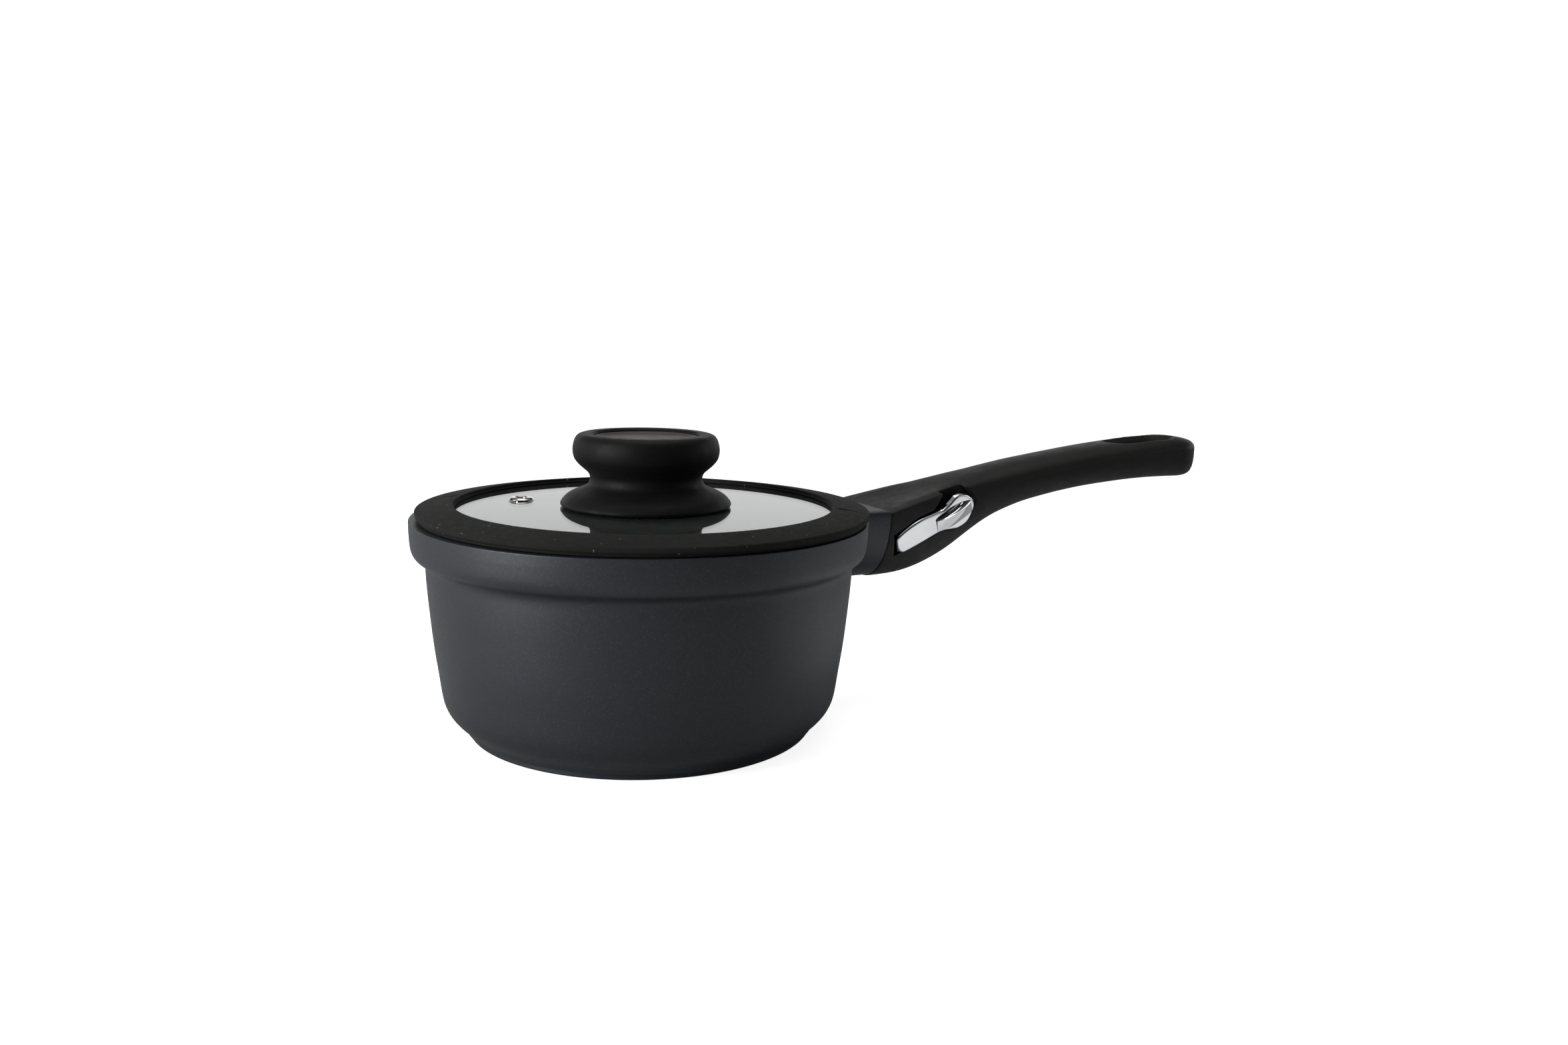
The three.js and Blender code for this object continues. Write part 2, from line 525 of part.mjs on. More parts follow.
const pin = alongV(rod(PIN_R, ...PIN_SPAN)).translate(PIN_U, 0, PIN_N);
add('lever_pin', place(pin), 0xa8aaad, 0.3, 1);

const shoe = shoeBox(0, -16, shoeBack).subtract(handOver.translate(0, -0.05, 0));
add('clamp_shoe', shoe, 0x8c8f93, 0.4, 1);

export default group;
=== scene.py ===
import math

import bmesh
import bpy
from mathutils import Matrix, Vector


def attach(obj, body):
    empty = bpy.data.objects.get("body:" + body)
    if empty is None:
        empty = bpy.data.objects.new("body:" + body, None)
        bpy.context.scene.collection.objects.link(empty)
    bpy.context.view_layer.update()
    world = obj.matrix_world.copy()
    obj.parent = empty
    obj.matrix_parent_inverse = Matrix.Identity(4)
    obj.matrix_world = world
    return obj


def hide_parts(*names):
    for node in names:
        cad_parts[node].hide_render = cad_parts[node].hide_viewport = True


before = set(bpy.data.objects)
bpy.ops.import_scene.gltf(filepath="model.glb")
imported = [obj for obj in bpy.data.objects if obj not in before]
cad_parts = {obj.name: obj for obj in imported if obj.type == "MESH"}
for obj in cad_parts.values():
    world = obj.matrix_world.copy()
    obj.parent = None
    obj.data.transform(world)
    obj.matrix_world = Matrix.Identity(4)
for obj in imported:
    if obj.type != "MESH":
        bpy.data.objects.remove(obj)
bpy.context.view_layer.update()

MM = 0.001

# ---- camera ------------------------------------------------------------------------------------
CAMERA_AT = (-0.2172, -0.5513, 0.1974)
CAMERA_HEADING = math.radians(62.059)   # direction of view in plan, from +X towards +Y
CAMERA_PITCH = math.radians(9.585)      # downwards
CAMERA_ROLL = math.radians(1.382)
CAMERA_LENS = 29.152

cam_data = bpy.data.cameras.new("camera")
cam_data.lens = CAMERA_LENS
cam_data.sensor_width = 36.0
cam_data.clip_start = 0.02
cam_data.clip_end = 60.0
camera = bpy.data.objects.new("camera", cam_data)
forward = Vector((
    math.cos(CAMERA_HEADING) * math.cos(CAMERA_PITCH),
    math.sin(CAMERA_HEADING) * math.cos(CAMERA_PITCH),
    -math.sin(CAMERA_PITCH),
))
level_right = forward.cross(Vector((0, 0, 1))).normalized()
level_up = level_right.cross(forward)
right = level_right * math.cos(CAMERA_ROLL) + level_up * math.sin(CAMERA_ROLL)
up = level_up * math.cos(CAMERA_ROLL) - level_right * math.sin(CAMERA_ROLL)
turned_to_view = Matrix((right, up, -forward)).transposed().to_4x4()
camera.matrix_world = Matrix.Translation(CAMERA_AT) @ turned_to_view
bpy.context.scene.collection.objects.link(camera)
bpy.context.scene.camera = camera


# ---- mesh helpers ------------------------------------------------------------------------------
def mesh_object(name, verts, faces):
    mesh = bpy.data.meshes.new(name)
    mesh.from_pydata([(x * MM, y * MM, z * MM) for x, y, z in verts], [], faces)
    bm = bmesh.new()
    bm.from_mesh(mesh)
    bmesh.ops.recalc_face_normals(bm, faces=bm.faces)
    bm.to_mesh(mesh)
    bm.free()
    obj = bpy.data.objects.new(name, mesh)
    bpy.context.scene.collection.objects.link(obj)
    shade(obj)
    return obj


def shade(obj, sharp_deg=40):
    obj.data.shade_smooth()
    obj.data.set_sharp_from_angle(angle=math.radians(sharp_deg))


def apply_modifiers(obj):
    depsgraph = bpy.context.evaluated_depsgraph_get()
    fresh = bpy.data.meshes.new_from_object(obj.evaluated_get(depsgraph))
    old = obj.data
    obj.modifiers.clear()
    obj.data = fresh
    bpy.data.meshes.remove(old)


def combine(obj, other, operation):
    mod = obj.modifiers.new("combine", "BOOLEAN")
    mod.solver = "MANIFOLD"
    mod.operation = operation
    mod.object = other
    apply_modifiers(obj)
    bpy.data.objects.remove(other)
    return obj


def cut(obj, *cutters):
    for cutter in cutters:
        combine(obj, cutter, "DIFFERENCE")
    return obj


def join(obj, *others):
    for other in others:
        combine(obj, other, "UNION")
    return obj


def copy_of(obj, name):
    twin = obj.copy()
    twin.data = obj.data.copy()
    twin.name = name
    bpy.context.scene.collection.objects.link(twin)
    return twin


def soften(obj, voxel, rounds):
    """Remeshes a body evenly and rounds its edges over a few voxels."""
    remesh = obj.modifiers.new("remesh", "REMESH")
    remesh.mode = "VOXEL"
    remesh.voxel_size = voxel * MM
    smooth = obj.modifiers.new("smooth", "SMOOTH")
    smooth.factor = 0.5
    smooth.iterations = rounds
    apply_modifiers(obj)


def rounded(corners, steps=5):
    """Polyline through (r, z, radius) corners, with an arc at every corner whose radius is not 0."""
    out = []
    last = len(corners) - 1
    for i, corner in enumerate(corners):
        point = Vector(corner[:2])
        radius = corner[2] if len(corner) > 2 else 0
        if radius == 0 or i in (0, last):
            out.append(tuple(point))
            continue
        before = Vector(corners[i - 1][:2]) - point
        after = Vector(corners[i + 1][:2]) - point
        angle = before.angle(after)
        reach = min(radius / math.tan(angle / 2), 0.48 * before.length, 0.48 * after.length)
        a = point + before.normalized() * reach
        b = point + after.normalized() * reach
        for k in range(steps + 1):
            t = k / steps
            out.append(tuple((1 - t) ** 2 * a + 2 * t * (1 - t) * point + t * t * b))
    return out


def catmull_rom(p0, p1, p2, p3, t):
    """Point at share t of the smooth span from p1 to p2."""
    return 0.5 * (
        2 * p1 + (p2 - p0) * t + (2 * p0 - 5 * p1 + 4 * p2 - p3) * t * t
        + (3 * p1 - p0 - 3 * p2 + p3) * t ** 3
    )


def smooth_line(points, per_span=6):
    """Smooth line through (r, z) points."""
    pts = [Vector(p) for p in points]
    out = []
    for i in range(len(pts) - 1):
        p0 = pts[max(i - 1, 0)]
        p1, p2 = pts[i], pts[i + 1]
        p3 = pts[min(i + 2, len(pts) - 1)]
        for k in range(per_span):
            out.append(tuple(catmull_rom(p0, p1, p2, p3, k / per_span)))
    out.append(tuple(pts[-1]))
    return out


def lathe(name, profile, segments, at=(0, 0, 0)):
    """Turned body about Z. The profile runs from axis to axis, or closes on itself."""
    verts, rows = [], []
    open_ended = profile[0][0] < 1e-6 and profile[-1][0] < 1e-6
    for r, z in profile:
        if r < 1e-6:
            rows.append([len(verts)])
            verts.append((at[0], at[1], z + at[2]))
            continue
        rows.append(list(range(len(verts), len(verts) + segments)))
        for k in range(segments):
            a = 2 * math.pi * k / segments
            verts.append((at[0] + r * math.cos(a), at[1] + r * math.sin(a), z + at[2]))
    faces = []
    pairs = list(zip(rows, rows[1:]))
    if not open_ended:
        pairs.append((rows[-1], rows[0]))
    for low, high in pairs:
        for k in range(segments):
            n = (k + 1) % segments
            if len(low) == 1 and len(high) == 1:
                continue
            if len(low) == 1:
                faces.append((low[0], high[n], high[k]))
            elif len(high) == 1:
                faces.append((low[k], low[n], high[0]))
            else:
                faces.append((low[k], low[n], high[n], high[k]))
    return mesh_object(name, verts, faces)


def loft(name, rings):
    """Closed body through rings that all have the same number of points."""
    count = len(rings[0])
    verts = [p for ring in rings for p in ring]
    faces = []
    for i in range(len(rings) - 1):
        for j in range(count):
            a, b = i * count + j, i * count + (j + 1) % count
            faces.append((a, b, b + count, a + count))
    faces.append(tuple(reversed(range(count))))
    faces.append(tuple(range((len(rings) - 1) * count, len(rings) * count)))
    return mesh_object(name, verts, faces)


def prism(name, outline, low, high, to_world=lambda p: p):
    return loft(name, [[to_world((x, y, h)) for x, y in outline] for h in (low, high)])


def box(name, x0, x1, y0, y1, z0, z1, to_world=lambda p: p):
    return prism(name, [(x0, y0), (x1, y0), (x1, y1), (x0, y1)], z0, z1, to_world)


def circle(radius, centre=(0, 0), segments=48):
    angles = [2 * math.pi * k / segments for k in range(segments)]
    return [(centre[0] + radius * math.cos(a), centre[1] + radius * math.sin(a)) for a in angles]


def rod(name, radius, z0, z1, at=(0, 0)):
    return prism(name, circle(radius, at), z0, z1)


def bevelled(obj, width, segments=2, angle_deg=35):
    mod = obj.modifiers.new("bevel", "BEVEL")
    mod.width = width * MM
    mod.segments = segments
    mod.limit_method = "ANGLE"
    mod.angle_limit = math.radians(angle_deg)
    apply_modifiers(obj)
    shade(obj)
    return obj


def smooth_loop(corners, count, per_span=12):
    """Evenly spaced points on a smooth closed line through the corners."""
    pts = [Vector(p) for p in corners]
    size = len(pts)
    fine = []
    for i in range(size):
        p0, p1, p2, p3 = (pts[(i + k) % size] for k in (-1, 0, 1, 2))
        for k in range(per_span):
            fine.append(catmull_rom(p0, p1, p2, p3, k / per_span))
    steps = [(fine[(i + 1) % len(fine)] - p).length for i, p in enumerate(fine)]
    total = sum(steps)
    out, walked, i = [], 0.0, 0
    for k in range(count):
        target = total * k / count
        while walked + steps[i] < target:
            walked += steps[i]
            i += 1
        out.append(tuple(fine[i].lerp(fine[(i + 1) % len(fine)], (target - walked) / steps[i])))
    return out


def grown(points, distance):
    """Closed outline moved outwards by a distance."""
    out = []
    for i, p in enumerate(points):
        a, b = points[i - 1], points[(i + 1) % len(points)]
        dx, dy = b[0] - a[0], b[1] - a[1]
        length = math.hypot(dx, dy)
        out.append((p[0] + distance * dy / length, p[1] - distance * dx / length))
    return out


def sample(table, x, column):
    """Smooth value of one column of a table whose first column is the station."""
    last = len(table) - 1
    at = min(max(x, table[0][0]), table[last][0])
    k = 0
    while k < last - 1 and table[k + 1][0] < at:
        k += 1

    def slope(i):
        lo, hi = max(i - 1, 0), min(i + 1, last)
        return (table[hi][column] - table[lo][column]) / (table[hi][0] - table[lo][0])

    span = table[k + 1][0] - table[k][0]
    t = (at - table[k][0]) / span
    return (
        (1 + 2 * t) * (1 - t) ** 2 * table[k][column] + t * (1 - t) ** 2 * span * slope(k)
        + t * t * (3 - 2 * t) * table[k + 1][column] + t * t * (t - 1) * span * slope(k + 1)
    )


# ---- materials ---------------------------------------------------------------------------------
class Nodes:
    """Small builder of one material's node tree in object space."""

    def __init__(self, name):
        self.material = bpy.data.materials.new(name)
        self.material.use_nodes = True
        self.tree = self.material.node_tree
        self.shader = self.tree.nodes["Principled BSDF"]
        self.coords = self.tree.nodes.new("ShaderNodeTexCoord").outputs["Object"]
        self.bump_out = None

    def set(self, **values):
        for key, value in values.items():
            self.shader.inputs[key.replace("_", " ")].default_value = value

    def noise(self, scale, detail, stretch=None):
        node = self.tree.nodes.new("ShaderNodeTexNoise")
        node.inputs["Scale"].default_value = scale
        node.inputs["Detail"].default_value = detail
        source = self.coords
        if stretch:
            mapping = self.tree.nodes.new("ShaderNodeMapping")
            mapping.inputs["Scale"].default_value = stretch
            self.tree.links.new(self.coords, mapping.inputs["Vector"])
            source = mapping.outputs["Vector"]
        self.tree.links.new(source, node.inputs["Vector"])
        return node.outputs["Fac"]

    def cells(self, scale, output="Distance"):
        node = self.tree.nodes.new("ShaderNodeTexVoronoi")
        node.inputs["Scale"].default_value = scale
        self.tree.links.new(self.coords, node.inputs["Vector"])
        return node.outputs[output]

    def remap(self, value, low, high, to_low, to_high):
        node = self.tree.nodes.new("ShaderNodeMapRange")
        node.inputs["From Min"].default_value = low
        node.inputs["From Max"].default_value = high
        node.inputs["To Min"].default_value = to_low
        node.inputs["To Max"].default_value = to_high
        self.tree.links.new(value, node.inputs["Value"])
        return node.outputs["Result"]

    def ramp(self, value, stops):
        node = self.tree.nodes.new("ShaderNodeValToRGB")
        ramp = node.color_ramp
        while len(ramp.elements) < len(stops):
            ramp.elements.new(0.5)
        for element, (place, color) in zip(ramp.elements, stops):
            element.position = place
            element.color = (*color, 1)
        self.tree.links.new(value, node.inputs["Fac"])
        return node.outputs["Color"]

    def mix(self, factor, a, b):
        node = self.tree.nodes.new("ShaderNodeMix")
        node.data_type = "RGBA"
        self.link_or_set(factor, node.inputs["Factor"])
        self.link_or_set(a, node.inputs["A"])
        self.link_or_set(b, node.inputs["B"])
        return node.outputs["Result"]

    def math(self, operation, a, b):
        node = self.tree.nodes.new("ShaderNodeMath")
        node.operation = operation
        self.link_or_set(a, node.inputs[0])
        self.link_or_set(b, node.inputs[1])
        return node.outputs["Value"]

    def link_or_set(self, value, socket):
        if isinstance(value, bpy.types.NodeSocket):
            self.tree.links.new(value, socket)
        elif isinstance(value, tuple) and len(value) == 3:
            socket.default_value = (*value, 1)
        else:
            socket.default_value = value

    def drive(self, value, key):
        self.tree.links.new(value, self.shader.inputs[key])

    def bump(self, value, distance, strength=1.0):
        node = self.tree.nodes.new("ShaderNodeBump")
        node.inputs["Distance"].default_value = distance * MM
        node.inputs["Strength"].default_value = strength
        self.tree.links.new(value, node.inputs["Height"])
        if self.bump_out:
            self.tree.links.new(self.bump_out, node.inputs["Normal"])
        self.bump_out = node.outputs["Normal"]
        self.tree.links.new(self.bump_out, self.shader.inputs["Normal"])


PAINT_DARK, PAINT_LIGHT = (0.01, 0.0126, 0.0172), (0.013, 0.016, 0.0218)
PAINT_FLAKE, PAINT_GRAIN = (0.055, 0.064, 0.078), 2700   # the grain is in flakes per metre
RUBBER_DARK, RUBBER_LIGHT = (0.0108, 0.0104, 0.01), (0.0148, 0.0144, 0.0136)
RUBBER_DUST = (0.13, 0.125, 0.115)
GLASS_DARK, GLASS_LIGHT = (0.6, 0.63, 0.63), (0.64, 0.67, 0.67)


def paint_material():
    m = Nodes("pan_paint")
    base = m.ramp(m.noise(14, 3), [(0.3, PAINT_DARK), (0.7, PAINT_LIGHT)])
    grain = m.cells(PAINT_GRAIN, "Color")
    flake = m.math("GREATER_THAN", grain, 0.8)
    m.drive(m.mix(flake, base, PAINT_FLAKE), "Base Color")
    m.drive(m.math("MULTIPLY", flake, 0.7), "Metallic")
    m.drive(m.remap(m.noise(1300, 2), 0.3, 0.7, 0.42, 0.5), "Roughness")
    m.set(Specular_IOR_Level=0.55)
    m.bump(m.cells(PAINT_GRAIN), 0.025, 0.45)
    return m.material


def silicone_material():
    m = Nodes("silicone_rim")
    base = m.ramp(m.noise(35, 4), [(0.3, RUBBER_DARK), (0.7, RUBBER_LIGHT)])
    dust = m.math("GREATER_THAN", m.noise(420, 1), 0.76)
    m.drive(m.mix(dust, base, RUBBER_DUST), "Base Color")
    m.drive(m.remap(m.noise(260, 3), 0.3, 0.7, 0.8, 0.92), "Roughness")
    m.set(Specular_IOR_Level=0.2)
    m.bump(m.noise(1500, 2), 0.025, 0.5)
    return m.material


def soft_touch_material(name, dark, light, rough, shine=0.42):
    m = Nodes(name)
    m.drive(m.ramp(m.noise(28, 4), [(0.3, dark), (0.7, light)]), "Base Color")
    m.drive(m.remap(m.noise(180, 3), 0.3, 0.7, rough[0], rough[1]), "Roughness")
    m.set(Specular_IOR_Level=shine, Sheen_Weight=0.02, Sheen_Roughness=0.45)
    m.bump(m.noise(1700, 2), 0.03, 0.6)
    m.bump(m.noise(60, 2), 0.05, 0.25)
    return m.material


def metal_material(name, color, rough, scratch=True):
    m = Nodes(name)
    tone = tuple(c * 0.9 for c in color)
    m.drive(m.ramp(m.noise(60, 3), [(0.35, tone), (0.65, color)]), "Base Color")
    m.set(Metallic=1.0)
    m.drive(m.remap(m.noise(400, 3, stretch=(1, 1, 8)), 0.3, 0.7, rough[0], rough[1]), "Roughness")
    if scratch:
        m.bump(m.noise(900, 2, stretch=(1, 1, 10)), 0.01, 0.4)
    return m.material


def glass_material():
    m = Nodes("lid_glass")
    m.drive(m.ramp(m.noise(8, 2), [(0.3, GLASS_DARK), (0.7, GLASS_LIGHT)]), "Base Color")
    m.drive(m.remap(m.noise(40, 2), 0.35, 0.75, 0.008, 0.02), "Roughness")
    m.set(Transmission_Weight=0.97, IOR=1.52, Specular_IOR_Level=0.65)
    return m.material


PAINT = paint_material()
SILICONE = silicone_material()
KNOB_BLACK = soft_touch_material(
    "knob_soft_touch", (0.004, 0.004, 0.004), (0.006, 0.0058, 0.0056), (0.5, 0.62), 0.14)
KNOB_DISC = soft_touch_material("knob_cap", (0.046, 0.038, 0.032), (0.058, 0.048, 0.041), (0.44, 0.55))
# The handle's top and side shells use a lit copy and a shaded copy of one soft-touch plastic: the top's
# lighter colour is painted light, the side's darker colour is painted shade.
GRIP_TOP_PAINTED_LIGHT = soft_touch_material(
    "handle_top", (0.0095, 0.0092, 0.0086), (0.0135, 0.0131, 0.0123), (0.44, 0.56), 0.22)
GRIP_SIDE_PAINTED_SHADE = soft_touch_material(
    "handle_side", (0.007, 0.0073, 0.007), (0.0098, 0.0101, 0.0098), (0.48, 0.6), 0.2)
GASKET = soft_touch_material("gasket", (0.02, 0.02, 0.02), (0.03, 0.03, 0.03), (0.55, 0.7))
CHROME = metal_material("lever_chrome", (0.86, 0.87, 0.885), (0.05, 0.1), False)
EYELET = metal_material("eyelet_steel", (0.74, 0.73, 0.71), (0.1, 0.2), False)
STEEL = metal_material("screw_steel", (0.56, 0.56, 0.57), (0.25, 0.38))
WASHER = metal_material("washer_steel", (0.5, 0.5, 0.5), (0.28, 0.42))
SLEEVE = metal_material("sleeve_steel", (0.46, 0.46, 0.47), (0.3, 0.45))
PIN = metal_material("pin_steel", (0.55, 0.55, 0.56), (0.2, 0.3))
SHOE = metal_material("shoe_steel", (0.42, 0.42, 0.43), (0.35, 0.5))
BRASS = metal_material("insert_brass", (0.56, 0.39, 0.16), (0.25, 0.4))
GLASS = glass_material()


LID_AT = (1.4, -0.75)   # the lid rests a little off the pan axis


def finish_piece(obj, material, body, slot, *nodes):
    if body == "lid":
        obj.data.transform(Matrix.Translation(Vector((*LID_AT, 0)) * MM))
    obj.data.materials.clear()
    obj.data.materials.append(material)
    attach(obj, body)
    if nodes:
        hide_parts(*nodes)


# ---- pan ---------------------------------------------------------------------------------------
RIM_R, RIM_TOP = 106.0, 99.7
LUG_START, LUG_END, LUG_HALF, LUG_TOP, LUG_BOTTOM = 97.5, 121.0, 27.0, 99.0, 62.4
LUG_SHOULDER, LUG_EDGE, LUG_FILLET = 1.2, 1.3, 5.0
TONGUE_START, TONGUE_END, TONGUE_HALF, TONGUE_Z, TONGUE_EDGE = 100.0, 160.0, 8.0, (79.0, 91.0), 1.2

wall = smooth_line([
    (82.9, 3.1), (84.9, 6), (88, 9), (90.6, 12.5), (92.4, 17.5), (94.1, 29), (96.1, 43.5),
    (98, 62.7), (98.7, 72), (99.1, 78.6), (99.9, 80.8), (101.6, 82.4), (103.8, 84.1),
    (105, 86.2), (105.6, 89.2), (105.95, 95),
])
PAN_OUTSIDE = (
    rounded([(0, 0), (80.7, 0, 0.5), (81.2, 0.7, 0.4), (81, 2.8, 0.3), (82.3, 2.9)], 3)
    + wall
    + rounded([
        (105.95, 96), (RIM_R, 99.0, 0.0), (RIM_R, RIM_TOP, 0.8), (101, RIM_TOP, 0.8), (100, 98.4),
    ], 5)
)
PAN_INSIDE = rounded([
    (100, 98), (99.7, 93.4, 1.5), (95, 89.8, 1.5), (94, 86, 1), (93.7, 76), (91.6, 50), (89.3, 31),
    (86.8, 19, 4), (84.2, 13.4, 5), (80.6, 10.4, 4), (75, 9.1, 2), (0, 9),
], 5)


def outer_radius(z):
    """Outside radius of the pan at a height."""
    for (r0, z0), (r1, z1) in zip(PAN_OUTSIDE, PAN_OUTSIDE[1:]):
        if z0 <= z <= z1 and z1 > z0:
            return r0 + (r1 - r0) * (z - z0) / (z1 - z0)
    return RIM_R


def lug_ring(x, steps=63, top_steps=8):
    """Half-ellipse under a flat top, flared into a fillet where it meets the pan."""
    points = []
    for k in range(steps + 1):
        a = math.pi * k / steps
        y = -LUG_HALF * math.cos(a)
        drop = (LUG_TOP - LUG_SHOULDER - LUG_BOTTOM) * math.sin(a)
        z = LUG_TOP - LUG_SHOULDER - drop
        gap = min(max(math.hypot(x, y) - outer_radius(z), 0), LUG_FILLET)
        grow = LUG_FILLET - math.sqrt(LUG_FILLET ** 2 - (LUG_FILLET - gap) ** 2)
        grow *= min(max((LUG_TOP - z - 1) / 10, 0), 1)
        normal = Vector((-math.cos(a) * 1.3, -math.sin(a))).normalized()
        points.append((x, y + grow * normal[0], z + grow * normal[1]))
    top = [(x, LUG_HALF - 0.4, LUG_TOP - 0.35), (x, LUG_HALF - LUG_EDGE, LUG_TOP)]
    flat = 2 * LUG_HALF - 2 * LUG_EDGE
    for k in range(1, top_steps + 1):
        top.append((x, LUG_HALF - LUG_EDGE - flat * k / top_steps, LUG_TOP))
    return points + top + [(x, -LUG_HALF + 0.4, LUG_TOP - 0.35)]


lug_stations = [LUG_START + 0.75 * k for k in range(31)] + [LUG_END - 0.4, LUG_END]
pan = lathe("pan_body", PAN_OUTSIDE + PAN_INSIDE, 224)
lug = loft("lug", [lug_ring(x) for x in lug_stations])
tongue = box("tongue", TONGUE_START, TONGUE_END, -TONGUE_HALF, TONGUE_HALF, *TONGUE_Z)
bevelled(tongue, TONGUE_EDGE, 3)
join(pan, lug, tongue)
shade(pan, 35)
finish_piece(pan, PAINT, "pan", "pan_paint", "pan_casting")

# ---- lid ---------------------------------------------------------------------------------------
GLASS_TOP, GLASS_FALL, GLASS_T, GLASS_R, GLASS_EDGE = 104.6, 0.7, 4.0, 96.0, 0.9
KNOB_HOLE_R, VENT_HOLE_R, HOLE_Z = 4.0, 3.8, (90, 110)
VENT_RADIUS, VENT_AZIMUTH = 61.2, math.radians(143.7)
GLASS_GAP, LIP_GAP = 0.2, 0.15   # clearances of the ring round the glass and over it
RING_PEAK, RING_PEAK_R, RING_SLOPE = 106.6, 87.8, 0.147
SLOT_AZIMUTHS, SLOT_Z = (-32, 148), (103, 110)


def glass_top(r):
    """Height of the domed glass at a radius."""
    return GLASS_TOP - GLASS_FALL * (r / GLASS_R) ** 2


radii = [GLASS_R * k / 24 for k in range(25)]
glass_profile = (
    [(r, glass_top(r) - GLASS_T) for r in radii[:-1]]
    + rounded([
        (GLASS_R - 1, glass_top(GLASS_R) - GLASS_T), (GLASS_R, glass_top(GLASS_R) - GLASS_T, GLASS_EDGE),
        (GLASS_R, glass_top(GLASS_R), GLASS_EDGE), (GLASS_R - 1, glass_top(GLASS_R)),
    ])
    + [(r, glass_top(r)) for r in reversed(radii[:-1])]
)
vent_at = (VENT_RADIUS * math.cos(VENT_AZIMUTH), VENT_RADIUS * math.sin(VENT_AZIMUTH))
vent_z = glass_top(VENT_RADIUS)
glass = lathe("glass_disc", glass_profile, 192)
cut(glass, rod("hole", KNOB_HOLE_R, *HOLE_Z), rod("hole", VENT_HOLE_R, *HOLE_Z, vent_at))
shade(glass, 30)
finish_piece(glass, GLASS, "lid", "lid_glass", "lid_glass")

RING = rounded([
    (95, 105.53), (104.5, 104.12, 0.6), (104.85, 103.6, 0.5), (104.7, 102.1, 0.5), (104.2, 101.4, 0.4),
    (103.7, 101.2, 0.3), (103.4, 100.05, 0.4), (99.6, 100.05, 0.5), (98.1, 99.2, 0.5), (97.8, 95.9, 0.8),
    (97.2, 95.4, 0.6), (89, 95.6, 0.6), (88.4, 96.2, 0.4), (88.4, glass_top(88.4) - GLASS_T - GLASS_GAP),
    (GLASS_R + GLASS_GAP, glass_top(GLASS_R) - GLASS_T - GLASS_GAP),
    (GLASS_R + GLASS_GAP, glass_top(GLASS_R) + LIP_GAP), (87.3, glass_top(87.4) + LIP_GAP, 0.15),
    (87.2, 104.8, 0.2), (87.7, 105, 0.2), (RING_PEAK_R, RING_PEAK, 0.5), (95, 105.53),
], 4)
ring = lathe("silicone_ring", RING[:-1], 224)
SLOT = smooth_loop([
    (89.4, 0), (90.4, -1.15), (92.6, -1.6), (95, -1.2), (98, -0.62), (102.2, -0.3), (103.2, 0),
    (102.2, 0.3), (98, 0.62), (95, 1.2), (92.6, 1.6), (90.4, 1.15),
], 72)



def turned_by(azimuth):
    """Mapping that turns a point about the lid's axis by an azimuth in degrees."""
    turn = Matrix.Rotation(math.radians(azimuth), 3, "Z")
    return lambda p: tuple(turn @ Vector(p))


for azimuth in SLOT_AZIMUTHS:
    cut(ring, prism("slot", SLOT, *SLOT_Z, turned_by(azimuth)))
shade(ring, 30)
finish_piece(ring, SILICONE, "lid", "silicone_rim", "lid_silicone_rim")

# Small ribs stand across each steam slot, a little below the ring's top.
RIBS = ((92.2, 1.75, 104.35), (94.6, 1.45, 104.35), (97, 1.0, 102.9))   # radius, half length, foot
RIB_HALF, RIB_SUNK, RIB_EDGE = 0.35, 0.35, 0.12
for side, azimuth in zip(("right", "left"), SLOT_AZIMUTHS):
    ribs = None
    for r, half, foot in RIBS:
        top = RING_PEAK - (r - RING_PEAK_R) * RING_SLOPE - RIB_SUNK
        rib = box("rib", r - RIB_HALF, r + RIB_HALF, -half, half, foot, top, turned_by(azimuth))
        ribs = rib if ribs is None else join(ribs, rib)
    ribs.name = f"slot_ribs_{side}"
    bevelled(ribs, RIB_EDGE)
    finish_piece(ribs, SILICONE, "lid", "silicone_rim")

# Heights of the eyelet and its washer are from the glass.
EYELET_PROFILE = rounded([
    (2.6, 0.9, 0.4), (3.0, 1.4, 0.4), (3.9, 1.5, 0.8), (4.9, 1.3, 0.8), (5.7, 0.85, 0.6),
    (6.05, 0.45, 0.3), (5.9, 0.3, 0.1), (3.4, 0.3, 0.3), (3.4, -5.7, 0.3), (5, -5.7, 0.3),
    (5, -6.4, 0.3), (3, -6.4, 0.4), (2.6, -6, 0.4), (2.6, 0.9),
], 4)
eyelet = lathe("steam_eyelet", EYELET_PROFILE[1:], 96, (*vent_at, vent_z))
finish_piece(eyelet, EYELET, "lid", "eyelet_steel", "vent_eyelet")
EYELET_WASHER_PROFILE = rounded([
    (3.7, -4.85), (3.7, -4.3, 0.15), (6.6, -4.3, 0.2), (6.6, -5.4, 0.2), (3.7, -5.4, 0.15), (3.7, -4.86),
], 2)
eyelet_washer = lathe("eyelet_washer", EYELET_WASHER_PROFILE, 64, (*vent_at, vent_z))
finish_piece(eyelet_washer, WASHER, "lid", "washer_steel", "vent_washer")

